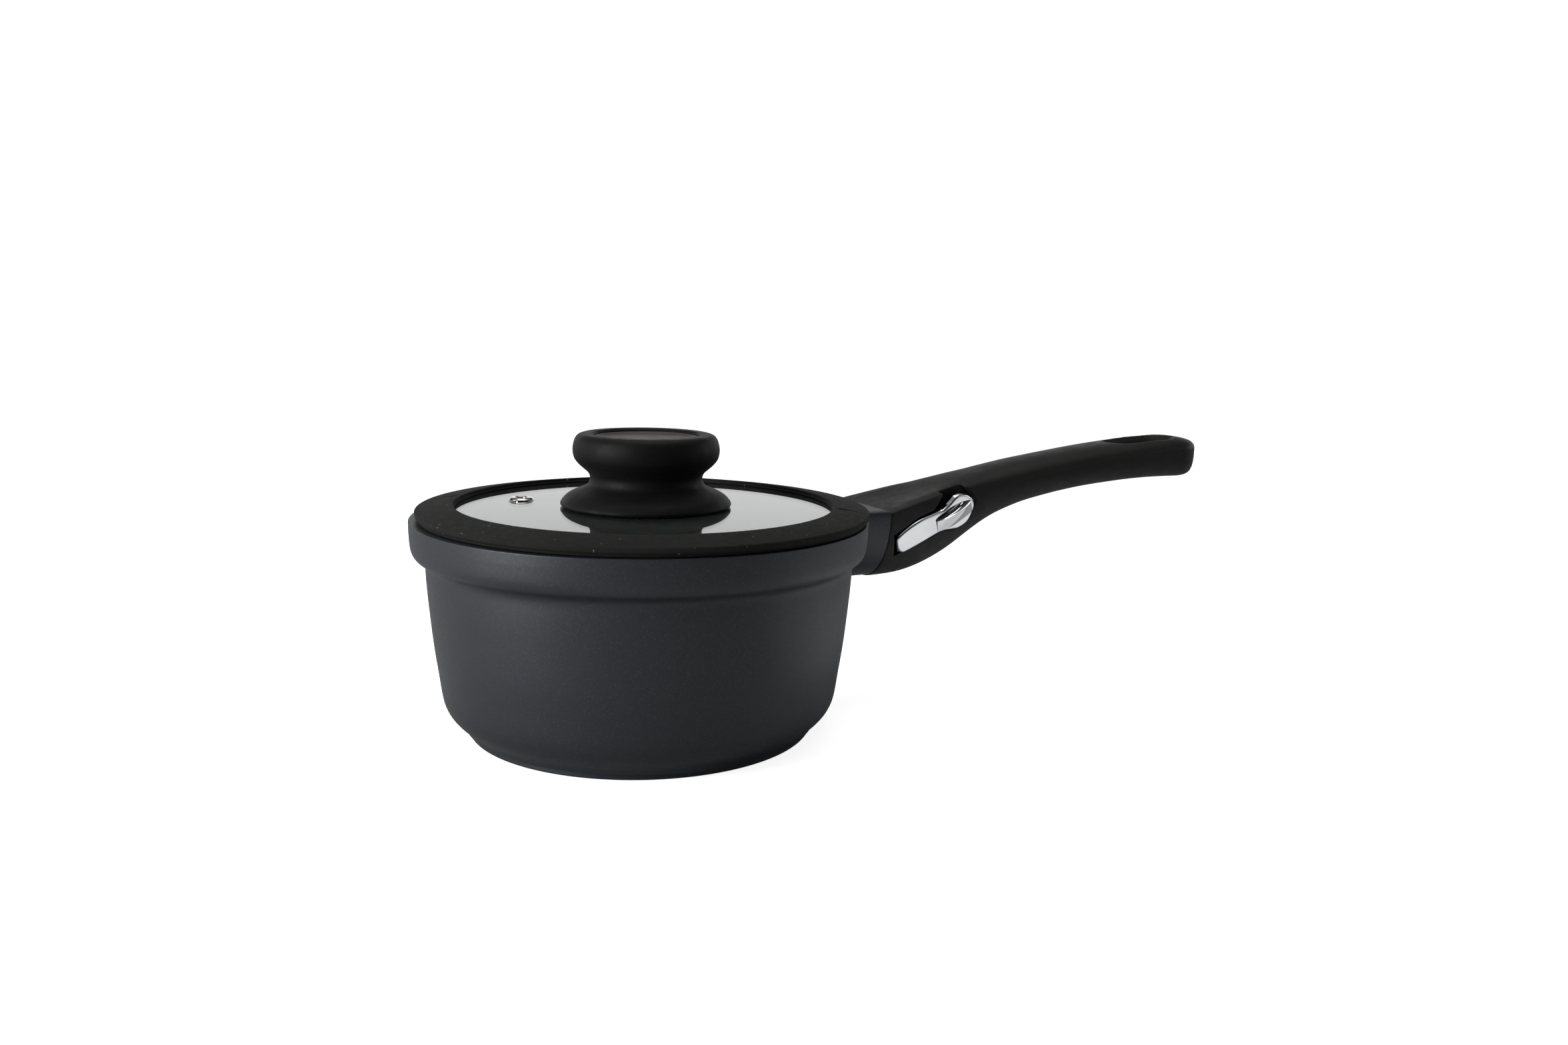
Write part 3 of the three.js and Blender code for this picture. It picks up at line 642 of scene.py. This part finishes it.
KNOB_TOP = rounded([
    (0, 134.8), (24.5, 134.8, 0.3), (24.5, 137.4, 0.3), (25.4, 138.4, 0.8), (29.7, 138.4),
], 4)
KNOB_SIDE = smooth_line([
    (30, 138.38), (31.7, 137.7), (33.1, 135.9), (33.95, 132.9), (34.1, 130.4), (33.75, 128.1),
    (33.2, 126.7),
])
KNOB_WAIST = smooth_line([
    (33.1, 126.5), (31.5, 124.5), (29.2, 122.4), (27.3, 120.7), (26.4, 119.2), (26.2, 117.6),
    (26.7, 115.6), (28, 114), (30.5, 112.7), (34.1, 111.3), (37.2, 109.5), (39.2, 107.3), (39.8, 106),
    (39.5, 105.3), (39, 105),
])
KNOB_UNDERSIDE = rounded([
    (38.4, 104.9), (36, 104.9, 0.4), (35.2, 107.4, 1), (22, 110, 1.5), (20.5, 118, 1), (11, 118, 1),
    (10, 106, 0.5), (4.6, 106, 0.2), (4.6, 114.3, 0.3), (0, 114.3),
], 3)
knob = lathe("knob_grip", KNOB_TOP + KNOB_SIDE + KNOB_WAIST + KNOB_UNDERSIDE, 160)
finish_piece(knob, KNOB_BLACK, "lid", "knob_soft_touch", "knob_body")
DISC_PROFILE = rounded([
    (0, 135.1), (24.2, 135.1, 0.3), (24.2, 137.1, 0.35), (23.2, 137.0, 0.6), (21.4, 136.3, 1.2),
    (17, 136.1, 1.5), (0, 135.9),
], 5)
disc = lathe("knob_disc", DISC_PROFILE, 128)
finish_piece(disc, KNOB_DISC, "lid", "knob_cap", "knob_cap")


def collar(name, radii, heights, edges, material, slot, node):
    """Ring round the knob's screw. Its outline starts part of the way up the bore."""
    bore, outer = radii
    base, start, top = heights
    bore_edge, outer_edge = edges
    profile = rounded([
        (bore, start), (bore, top, bore_edge), (outer, top, outer_edge), (outer, base, outer_edge),
        (bore, base, bore_edge), (bore, start),
    ], 3)
    finish_piece(lathe(name, profile[:-1], 64), material, "lid", slot, node)


collar("brass_insert", (2.7, 4.3), (106.4, 109, 114), (0.2, 0.3), BRASS, "insert_brass", "knob_insert")
collar(
    "upper_gasket", (4.4, 9.6), (104.9, 105.3, 105.7), (0.1, 0.2), GASKET, "gasket", "knob_gasket_upper")
collar(
    "lower_gasket", (3.2, 8.4), (99.1, 99.7, 100.3), (0.2, 0.3), GASKET, "gasket", "knob_gasket_lower")
collar("clamp_washer", (2.8, 9), (97.7, 98.3, 98.8), (0.1, 0.3), WASHER, "washer_steel", "knob_washer")
KNOB_SCREW_PROFILE = rounded([
    (0, 93.6), (3.4, 93.6, 0.8), (4.9, 94.4, 0.8), (5.4, 95.8, 0.5), (5.4, 97.4, 0.3), (2.4, 97.4, 0.2),
    (2.4, 111.4, 0.2), (1.8, 112, 0.2), (0, 112),
], 3)


def cross_recess(at_x, half_width, half_length, low, high):
    """Two crossed cutters for a screw's head."""
    return (
        box("slot", at_x - half_width, at_x + half_width, -half_length, half_length, low, high),
        box("slot", at_x - half_length, at_x + half_length, -half_width, half_width, low, high),
    )


screw = lathe("knob_fixing_screw", KNOB_SCREW_PROFILE, 64)
cut(screw, *cross_recess(0, 0.5, 3, 90, 95.2))
finish_piece(screw, STEEL, "lid", "screw_steel", "knob_screw")

# ---- handle ------------------------------------------------------------------------------------
# Columns of the stations after x: the crease is where the two shells meet, the powers shape the section
# above and below it, and the dish is the depth of the hollow in the top.
HALF, CREASE, CREST, UNDERSIDE, UPPER_POWER, LOWER_POWER, DISH = range(1, 8)
STATIONS = [
    (121.35, 27, 97.9, 98.3, 61.8, 6, 2, 0), (130, 25.5, 99.4, 100.6, 61.9, 5, 2, 0.5),
    (140, 23.8, 101.1, 103.1, 62.6, 4.4, 2, 0.8), (150, 22.4, 102.7, 105.5, 64.7, 3.8, 2, 0.8),
    (160, 21.1, 103.6, 107.7, 68.2, 3.2, 2, 0.5), (170, 20, 104.7, 110.3, 73.2, 2.7, 2.05, 0.1),
    (180, 19.2, 105.8, 112.7, 79.7, 2.4, 2.1, 0), (190, 18.6, 107, 114.6, 85.9, 2.3, 2.15, 0),
    (200, 18.2, 108.6, 116.6, 90.6, 2.2, 2.2, 0), (215, 17.8, 110.9, 119.2, 95.5, 2.2, 2.3, 0),
    (230, 17.6, 112.9, 121.3, 98.7, 2.2, 2.4, 0), (245, 17.6, 115.1, 123.2, 101.2, 2.2, 2.5, 0),
    (260, 17.8, 117.2, 125, 103.1, 2.2, 2.6, 0), (275, 18, 119.2, 126.5, 104.5, 2.2, 2.8, 0),
    (290, 18.2, 120.9, 127.8, 105.6, 2.2, 3, 0), (305, 18.2, 122, 129.2, 106.2, 2.2, 3.2, 0),
    (320, 18, 122.5, 129.8, 106.3, 2.3, 3.4, 0), (332, 17.8, 122.6, 128.9, 106.2, 2.4, 3.4, 0),
    (343, 17.4, 122.6, 126.6, 107.2, 2.4, 3, 0),
]
TIP_START, TIP_LENGTH, TIP_STEPS = 324, 19, 22
BLUNT = 0.004        # keeps the last section of a closing end from shrinking to a point
DISH_WIDTH = 0.72    # share of the handle's width that the dish takes up
SHELL_WALL, HOLLOW_X = 2.8, range(184, 273, 4)


def handle_ring(x, inset=0.0, upper_steps=44, lower_steps=52):
    """Section of the handle at x, drawn from one crease over the top to the other and back below."""
    closing = 1.0
    if x > TIP_START:
        closing = math.sqrt(max(1 - ((x - TIP_START) / TIP_LENGTH) ** 2, BLUNT))
    half = sample(STATIONS, x, HALF) * closing - inset
    crease = sample(STATIONS, x, CREASE)
    rise = sample(STATIONS, x, CREST) - crease - inset
    fall = crease - sample(STATIONS, x, UNDERSIDE) - inset
    up_power = 2 / sample(STATIONS, x, UPPER_POWER)
    down_power = 2 / sample(STATIONS, x, LOWER_POWER)
    dish = 0 if inset else sample(STATIONS, x, DISH)
    points = []
    for k in range(upper_steps):
        a = math.pi * k / upper_steps
        y = half * math.copysign(abs(math.cos(a)) ** up_power, math.cos(a))
        hollow = dish * max(1 - (y / (DISH_WIDTH * half)) ** 2, 0)
        points.append((x, y, crease + rise * math.sin(a) ** up_power - hollow))
    for k in range(lower_steps):
        a = math.pi * k / lower_steps
        y = -half * math.copysign(abs(math.cos(a)) ** down_power, math.cos(a))
        points.append((x, y, crease - fall * math.sin(a) ** down_power))
    return points


LEVER_ORIGIN = Vector((131.5, -22.0, 82.3))
AXIS_U = Vector((0.91761, 0.05769, 0.39326)).normalized()
AXIS_V = Vector((-0.3704, -0.23478, 0.89871)).normalized()
AXIS_N = AXIS_U.cross(AXIS_V).normalized()
LEVER_FACE, LEVER_BACK = 1.6, -2.9
PIN_U, PIN_N, PIN_R, PIN_SPAN, PIN_EDGE = 1.0, -2.9, 1.3, (-7.2, 9.2), 0.3
HUB_R, HUB_SPAN = 6.9, (-6.2, 7.3)
CAM_R, CAM_OFFSET, CAM_SPAN = 4.6, 1.2, (-4.8, 5.2)
HUB_GAP, PIN_GAP, PIN_END_GAP = 0.3, 0.15, 0.1


def from_lever(p):
    """Point given along the arm, across it and out of the handle's side."""
    return tuple(LEVER_ORIGIN + AXIS_U * p[0] + AXIS_V * p[1] + AXIS_N * p[2])


def across_lever(p):
    """Like from_lever, for outlines drawn in the arm's side view and extruded across it."""
    return from_lever((p[0], p[2], p[1]))


def barrel(name, radius, centre, low, high, segments=64):
    """Round bar along the lever's pin."""
    return prism(name, circle(radius, centre, segments), low, high, across_lever)


LEVER_OUTLINE = smooth_loop([
    (-4.4, 0.6), (-3.9, -2.6), (-2.3, -4.6), (0.2, -5.4), (11.3, -5.9), (23.6, -6.2), (30.8, -8.5),
    (35.8, -10.1), (42.2, -9.2), (47.3, -4), (48.1, -0.3), (46.8, 2.9), (42.5, 7.1), (37.6, 8.3),
    (33.2, 6.7), (28, 5.1), (23.3, 5.7), (13.7, 7), (6.5, 6.9), (-0.6, 5.7), (-3.6, 4),
], 160)
FINGER_POCKET = [
    (24, -1.5), (44, -3), (49.3, -1), (49.7, 3), (46.4, 8), (41, 11.6), (36, 12.6), (31.6, 10.8),
    (27.6, 7.4), (23.6, 4.6),
]
POCKET_MOUTH = [
    (21.8, -1.5), (44, -3), (51.4, -1.6), (52.2, 4.5), (49, 11.5), (43, 15.6), (36, 16.6), (29, 15.2),
    (24.2, 11.5), (21.2, 6.5),
]

FRONT_X, FRONT_EDGE = 121.35, 0.9
STUB_X, STATION_STEP = 112, 1.6   # the stub in front of the face is cut off once the edges are softened
RECESS_GAP, RECESS_DEPTH, SIDE_CLEAR = 0.6, 0.5, 16
SKIN_VOXEL, SKIN_ROUNDS = 0.6, 5
SOCKET_X, SOCKET_HALF, SOCKET_Z = (110, 164.3), 10.1, (76.9, 93.1)
WINDOW_HALF_LENGTH, WINDOW_HALF_WIDTH = 4.9, 4.3
PIN_HOLE_SPAN = (PIN_SPAN[0] - PIN_END_GAP, PIN_SPAN[1] + PIN_END_GAP)
plain_x = [STUB_X + STATION_STEP * k for k in range(132)]
tip_x = [TIP_START + TIP_LENGTH * math.sin(math.pi * k / (2 * TIP_STEPS)) for k in range(TIP_STEPS + 1)]
front_ring = handle_ring(FRONT_X, FRONT_EDGE)
whole = loft("handle_whole", [
    handle_ring(x) if x > FRONT_X else [(x, y, z) for _, y, z in front_ring] for x in plain_x + tip_x
])
POCKET_LEVELS = (
    (FINGER_POCKET, -7), (FINGER_POCKET, -2), (POCKET_MOUTH, LEVER_FACE), (POCKET_MOUTH, SIDE_CLEAR),
)
pocket_rings = [
    [from_lever((x, y, n)) for x, y in smooth_loop(points, 72)] for points, n in POCKET_LEVELS
]
# Height, centre, half length and half width of the hang hole's levels.
HANG_HOLE = [
    (98, 313, 12.5, 5.6), (106, 313, 12.5, 5.6), (114, 309, 15.5, 6.2), (122, 304.5, 20, 7.4),
    (125.5, 303.5, 22, 9), (127.5, 303, 23.5, 11), (131.5, 302.5, 26.5, 14.5),
]


def stadium(z, centre, half_length, half_width, steps=64):
    points = []
    for k in range(steps):
        a = 2 * math.pi * (k + 0.5) / steps
        shift = math.copysign(half_length - half_width, math.cos(a))
        points.append((centre + shift + half_width * math.cos(a), half_width * math.sin(a), z))
    return points


cut(
    whole,
    prism("recess", grown(LEVER_OUTLINE, RECESS_GAP), LEVER_BACK - RECESS_DEPTH, SIDE_CLEAR, from_lever),
    loft("pocket", pocket_rings),
    loft("hang_hole", [stadium(*row) for row in HANG_HOLE]),
)
soften(whole, SKIN_VOXEL, SKIN_ROUNDS)
cut(
    whole,
    box("front", 90, FRONT_X, -60, 60, 20, 160),
    loft("hollow", [handle_ring(x, SHELL_WALL) for x in HOLLOW_X]),
    barrel("cam_room", HUB_R + HUB_GAP, (PIN_U, PIN_N), *HUB_SPAN),
    barrel("pin_hole", PIN_R + PIN_GAP, (PIN_U, PIN_N), *PIN_HOLE_SPAN),
    box(
        "window", PIN_U - WINDOW_HALF_LENGTH, PIN_U + WINDOW_HALF_LENGTH,
        -WINDOW_HALF_WIDTH, WINDOW_HALF_WIDTH, -SIDE_CLEAR, PIN_N, from_lever),
    box("socket", *SOCKET_X, -SOCKET_HALF, SOCKET_HALF, *SOCKET_Z),
)

SCREW_X = (197, 232, 264)
BOSS_R, BOSS_SUNK, COUNTERBORE_R, SCREW_HOLE_R = 4.2, 1, 3.2, 1.6
SEAT_RISE, SEAT_GAP, COUNTERBORE_DEPTH = 4.4, 0.3, 9   # the seat's rise is from the handle's underside
THREAD_RISE, HOLE_RISE = 4, 4.3                        # of the screw's tip and its hole over the crease


def screw_seat(x):
    return sample(STATIONS, x, UNDERSIDE) + SEAT_RISE


for x in SCREW_X:
    boss_bottom = sample(STATIONS, x, UNDERSIDE) + BOSS_SUNK
    join(whole, rod("boss", BOSS_R, boss_bottom, sample(STATIONS, x, CREST) - BOSS_SUNK, (x, 0)))
    seat = screw_seat(x)
    cut(
        whole,
        rod("counterbore", COUNTERBORE_R, seat - COUNTERBORE_DEPTH, seat + SEAT_GAP, (x, 0)),
        rod("screw_hole", SCREW_HOLE_R, seat, sample(STATIONS, x, CREASE) + HOLE_RISE, (x, 0)),
    )
PARTING, PARTING_STEP = 0.02, 2.4   # half the gap between the shells, and the spacing along it
KEEP_X, KEEP_Y, KEEP_Z = (100, 360), (-50, 50), (30, 160)
parting_x = [KEEP_X[0]] + [FRONT_X + PARTING_STEP * k for k in range(93)] + [KEEP_X[1]]


def parting_block(name, sign):
    """Block over the crease line, or under it, that keeps one shell."""
    far = KEEP_Z[1] if sign > 0 else KEEP_Z[0]
    outline = [(x, sample(STATIONS, x, CREASE) + sign * PARTING) for x in parting_x]
    outline += [(KEEP_X[1], far), (KEEP_X[0], far)]
    return prism(name, outline, *KEEP_Y, lambda p: (p[0], p[2], p[1]))


upper = copy_of(whole, "handle_top_shell")
combine(upper, parting_block("keep", 1), "INTERSECT")
lower = whole
lower.name = "handle_side_shell"
combine(lower, parting_block("keep", -1), "INTERSECT")
shade(upper, 35)
shade(lower, 35)
# The top shell takes the lighter copy as painted light, and the side shell takes the darker copy as
# painted shade.
finish_piece(upper, GRIP_TOP_PAINTED_LIGHT, "handle", "handle_top", "handle_upper_shell")
finish_piece(lower, GRIP_SIDE_PAINTED_SHADE, "handle", "handle_side", "handle_lower_shell")

for i, x in enumerate(SCREW_X, 1):
    seat = screw_seat(x)
    tip = sample(STATIONS, x, CREASE) + THREAD_RISE
    profile = rounded([
        (0, seat - 2.4), (1.9, seat - 2.4, 0.5), (2.8, seat - 1.7, 0.4), (2.8, seat, 0.2),
        (1.3, seat, 0.2), (1.3, tip - 0.8, 0.2), (0.6, tip, 0.1), (0, tip),
    ], 3)
    body = lathe(f"grip_screw_{i}", profile, 48, (x, 0, 0))
    cut(body, *cross_recess(x, 0.35, 1.6, seat - 3, seat - 1.4))
    finish_piece(body, STEEL, "handle", "screw_steel", f"shell_screw_{i}")

# ---- lever, pin and shoe -----------------------------------------------------------------------
ARM_END, ARM_CLEAR, HUB_FRONT, HUB_STEPS = 60, 14, 4, 16
UNDERCUT_START, UNDERCUT_TOP = 19, -0.8
RIDGE_START, RIDGE_LENGTH, RIDGE_RISE, RIDGE_ROOT, RIDGE_EDGE, RIDGE_STEPS = 21.6, 24.0, 3.5, 0.8, 0.2, 40

# Side view of the arm: its front end is round about the pin, so that it can swing out of the recess.
arm_side = [
    (ARM_END, LEVER_BACK), (ARM_END, ARM_CLEAR), (PIN_U + HUB_FRONT, ARM_CLEAR),
    (PIN_U + HUB_FRONT, LEVER_FACE),
]
face_angle = math.pi - math.asin((LEVER_FACE - PIN_N) / HUB_R)
for k in range(HUB_STEPS + 1):
    a = face_angle + (math.pi - face_angle) * k / HUB_STEPS
    arm_side.append((PIN_U + HUB_R * math.cos(a), PIN_N + HUB_R * math.sin(a)))


def ridge_ring(t):
    """Section of the thumb ridge: it arches up from the face, with its crest along the upper edge."""
    arch = math.sqrt(max(math.sin(math.pi * t), BLUNT))
    u = RIDGE_START + RIDGE_LENGTH * t
    low, high = -5 - 1.3 * math.sin(math.pi * t), 1.5 + 0.5 * t
    section = [
        (low, RIDGE_ROOT), (high, RIDGE_ROOT), (high, LEVER_FACE + (RIDGE_RISE - 0.1) * arch),
        (high - 0.5, LEVER_FACE + RIDGE_RISE * arch), (low, LEVER_FACE + 0.5 * arch),
    ]
    return [from_lever((u, v, n)) for v, n in section]


LENS = smooth_loop([
    (22.6, 1.95), (28, 2.1), (34, 2.4), (39, 2.6), (43, 2.7), (39, 3.8), (34, 4.3), (28, 3.7),
], 72)
ARM_EDGE, ARM_EDGE_STEPS = 1.3, 8
plate_levels = [(0.0, LEVER_BACK)]
for k in range(ARM_EDGE_STEPS + 1):
    a = math.pi / 2 * k / ARM_EDGE_STEPS
    plate_levels.append((ARM_EDGE * (1 - math.cos(a)), LEVER_FACE - ARM_EDGE * (1 - math.sin(a))))
lever = loft("chrome_lever", [
    [from_lever((x, y, n)) for x, y in grown(LEVER_OUTLINE, -inset)] for inset, n in plate_levels
])
ridge = loft("ridge", [
    ridge_ring(0.5 - 0.5 * math.cos(math.pi * k / RIDGE_STEPS)) for k in range(RIDGE_STEPS + 1)
])
bevelled(ridge, RIDGE_EDGE, 2, 25)
join(lever, ridge)
combine(lever, prism("side", arm_side, -20, 20, across_lever), "INTERSECT")
cut(
    lever,
    box("undercut", UNDERCUT_START, ARM_END, -20, 20, LEVER_BACK - 1, UNDERCUT_TOP, from_lever),
    prism("lens", LENS, -12, 12, from_lever),
)
join(lever, barrel("cam", CAM_R, (PIN_U, PIN_N - CAM_OFFSET), *CAM_SPAN))
cut(lever, barrel("bore", PIN_R + PIN_GAP, (PIN_U, PIN_N), -12, 12))
shade(lever, 28)
finish_piece(lever, CHROME, "lever", "lever_chrome", "cam_lever")

pin = bevelled(barrel("hinge_pin", PIN_R, (PIN_U, PIN_N), *PIN_SPAN, 48), PIN_EDGE)
finish_piece(pin, PIN, "handle", "pin_steel", "lever_pin")

for node, material in (("tongue_sleeve", SLEEVE), ("clamp_shoe", SHOE)):
    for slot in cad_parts[node].material_slots:
        slot.material = material

# ---- floor, light and background ---------------------------------------------------------------
STAGE_R, DOME_OUTER, DOME_INNER = 12000, 0.99 * 12000, 0.98 * 12000
FLOOR_Z, BOUNCE_Z, FLOOR_GLOW = -0.03, -0.3, 0.86
REFLECTOR_AT, REFLECTOR_R, REFLECTOR_Z, REFLECTOR_GLOW = (280, -130), 150, (-0.28, -0.2), 0.4
WHITE = (1, 1, 1, 1)
heading = Vector((math.cos(CAMERA_HEADING), math.sin(CAMERA_HEADING), 0))


def stage_disc(name, z, color, glow):
    """Round floor with its top at z."""
    m = Nodes(name)
    m.drive(m.ramp(m.noise(3, 2), [(0.3, tuple(0.98 * c for c in color)), (0.7, color)]), "Base Color")
    m.set(Roughness=0.9, Specular_IOR_Level=0.0, Emission_Color=WHITE, Emission_Strength=glow)
    disc = prism(name, circle(STAGE_R, segments=96), z - 10, z)
    disc.data.materials.append(m.material)
    return disc


def only_to_camera(obj):
    obj.visible_diffuse = False
    obj.visible_glossy = False
    obj.visible_transmission = False
    obj.visible_shadow = False


# The camera sees a white floor. The object is lit by a darker one just below it, which is unseen.
floor = stage_disc("floor", FLOOR_Z, (0.8, 0.8, 0.8), FLOOR_GLOW)
only_to_camera(floor)
table = stage_disc("floor_bounce", BOUNCE_Z, (0.62, 0.62, 0.62), 0)
table.visible_camera = False

# A bright patch under the handle, which only shows in the chrome and the gloss.
reflector = prism("reflector", circle(REFLECTOR_R, REFLECTOR_AT), *REFLECTOR_Z)
shine = Nodes("reflector")
shine_tone = shine.ramp(shine.noise(4, 2), [(0.3, (0.6, 0.6, 0.6)), (0.7, (0.62, 0.62, 0.62))])
shine.drive(shine_tone, "Base Color")
shine.set(Roughness=0.9, Emission_Color=WHITE, Emission_Strength=REFLECTOR_GLOW)
reflector.data.materials.append(shine.material)
reflector.visible_camera = False
reflector.visible_diffuse = False
reflector.visible_transmission = False
reflector.visible_shadow = False



def dome_arc(radius):
    """Points from near the top of the dome to near its foot, every 5 degrees."""
    angles = [math.radians(5 * k) for k in range(1, 18)]
    return [(radius * math.sin(a), radius * math.cos(a)) for a in angles]


dome = lathe("backdrop", [
    (0, DOME_OUTER), *dome_arc(DOME_OUTER), (DOME_OUTER, 0),
    (DOME_INNER, 0), *reversed(dome_arc(DOME_INNER)), (0, DOME_INNER),
], 96)
sky = Nodes("backdrop")
sky.drive(sky.ramp(sky.noise(0.2, 1), [(0.3, (0.9, 0.9, 0.9)), (0.7, (0.92, 0.92, 0.92))]), "Base Color")
sky.set(Emission_Color=WHITE, Emission_Strength=1.0, Roughness=1.0)
dome.data.materials.append(sky.material)
only_to_camera(dome)


WALL_GLOW, CEILING_GLOW, ROOM_GLOW = 1.0, 0.3, 0.03
WALL_SPREAD = (-0.3, 0.3)      # where the wall fades in, against the camera's heading
WALL_TOP = (0.28, 0.44)        # where it fades out, against the vertical
CEILING_SPREAD = (0.55, 0.95)


def studio_world():
    """Dim room with a bright wall behind the object and a soft ceiling."""
    world = bpy.data.worlds.new("studio")
    world.use_nodes = True
    tree = world.node_tree
    links = tree.links
    direction = tree.nodes.new("ShaderNodeTexCoord").outputs["Generated"]

    def towards(vector, low, high, strength):
        dot = tree.nodes.new("ShaderNodeVectorMath")
        dot.operation = "DOT_PRODUCT"
        dot.inputs[1].default_value = vector
        links.new(direction, dot.inputs[0])
        span = tree.nodes.new("ShaderNodeMapRange")
        span.interpolation_type = "SMOOTHSTEP"
        span.inputs["From Min"].default_value = low
        span.inputs["From Max"].default_value = high
        span.inputs["To Max"].default_value = strength
        links.new(dot.outputs["Value"], span.inputs["Value"])
        return span.outputs["Result"]

    def combine_values(operation, a, b):
        node = tree.nodes.new("ShaderNodeMath")
        node.operation = operation
        for value, socket in ((a, node.inputs[0]), (b, node.inputs[1])):
            if isinstance(value, float):
                socket.default_value = value
            else:
                links.new(value, socket)
        return node.outputs["Value"]

    up_axis = (0, 0, 1)
    below_top = combine_values("SUBTRACT", 1.0, towards(up_axis, *WALL_TOP, 1.0))
    wall = combine_values("MULTIPLY", towards(tuple(heading), *WALL_SPREAD, WALL_GLOW), below_top)
    ceiling = towards(up_axis, *CEILING_SPREAD, CEILING_GLOW)
    total = combine_values("ADD", combine_values("ADD", wall, ceiling), ROOM_GLOW)
    links.new(total, tree.nodes["Background"].inputs["Strength"])
    tree.nodes["Background"].inputs["Color"].default_value = WHITE
    bpy.context.scene.world = world


studio_world()


LIGHT_TARGET_Z = 0.06


def softbox(name, azimuth, elevation, distance, size, power):
    """Soft light aimed at the pan, placed by its direction in degrees and distance in metres."""
    a, e = math.radians(azimuth), math.radians(elevation)
    at = Vector((math.cos(a) * math.cos(e), math.sin(a) * math.cos(e), math.sin(e))) * distance
    target = Vector((0, 0, LIGHT_TARGET_Z))
    data = bpy.data.lights.new(name, "AREA")
    data.shape = "RECTANGLE"
    data.size, data.size_y = size
    data.energy = power
    light = bpy.data.objects.new(name, data)
    light.location = at + target
    light.rotation_mode = "QUATERNION"
    light.rotation_quaternion = (-at).to_track_quat("-Z", "Y")
    bpy.context.scene.collection.objects.link(light)


softbox("key", azimuth=186.5, elevation=14, distance=1.3, size=(0.55, 0.9), power=17.5)
softbox("fill", azimuth=320, elevation=12, distance=1.5, size=(0.6, 0.8), power=0.5)
softbox("overhead", azimuth=62, elevation=80, distance=1.6, size=(1.0, 1.0), power=7.5)

bpy.context.scene.view_settings.view_transform = "Standard"
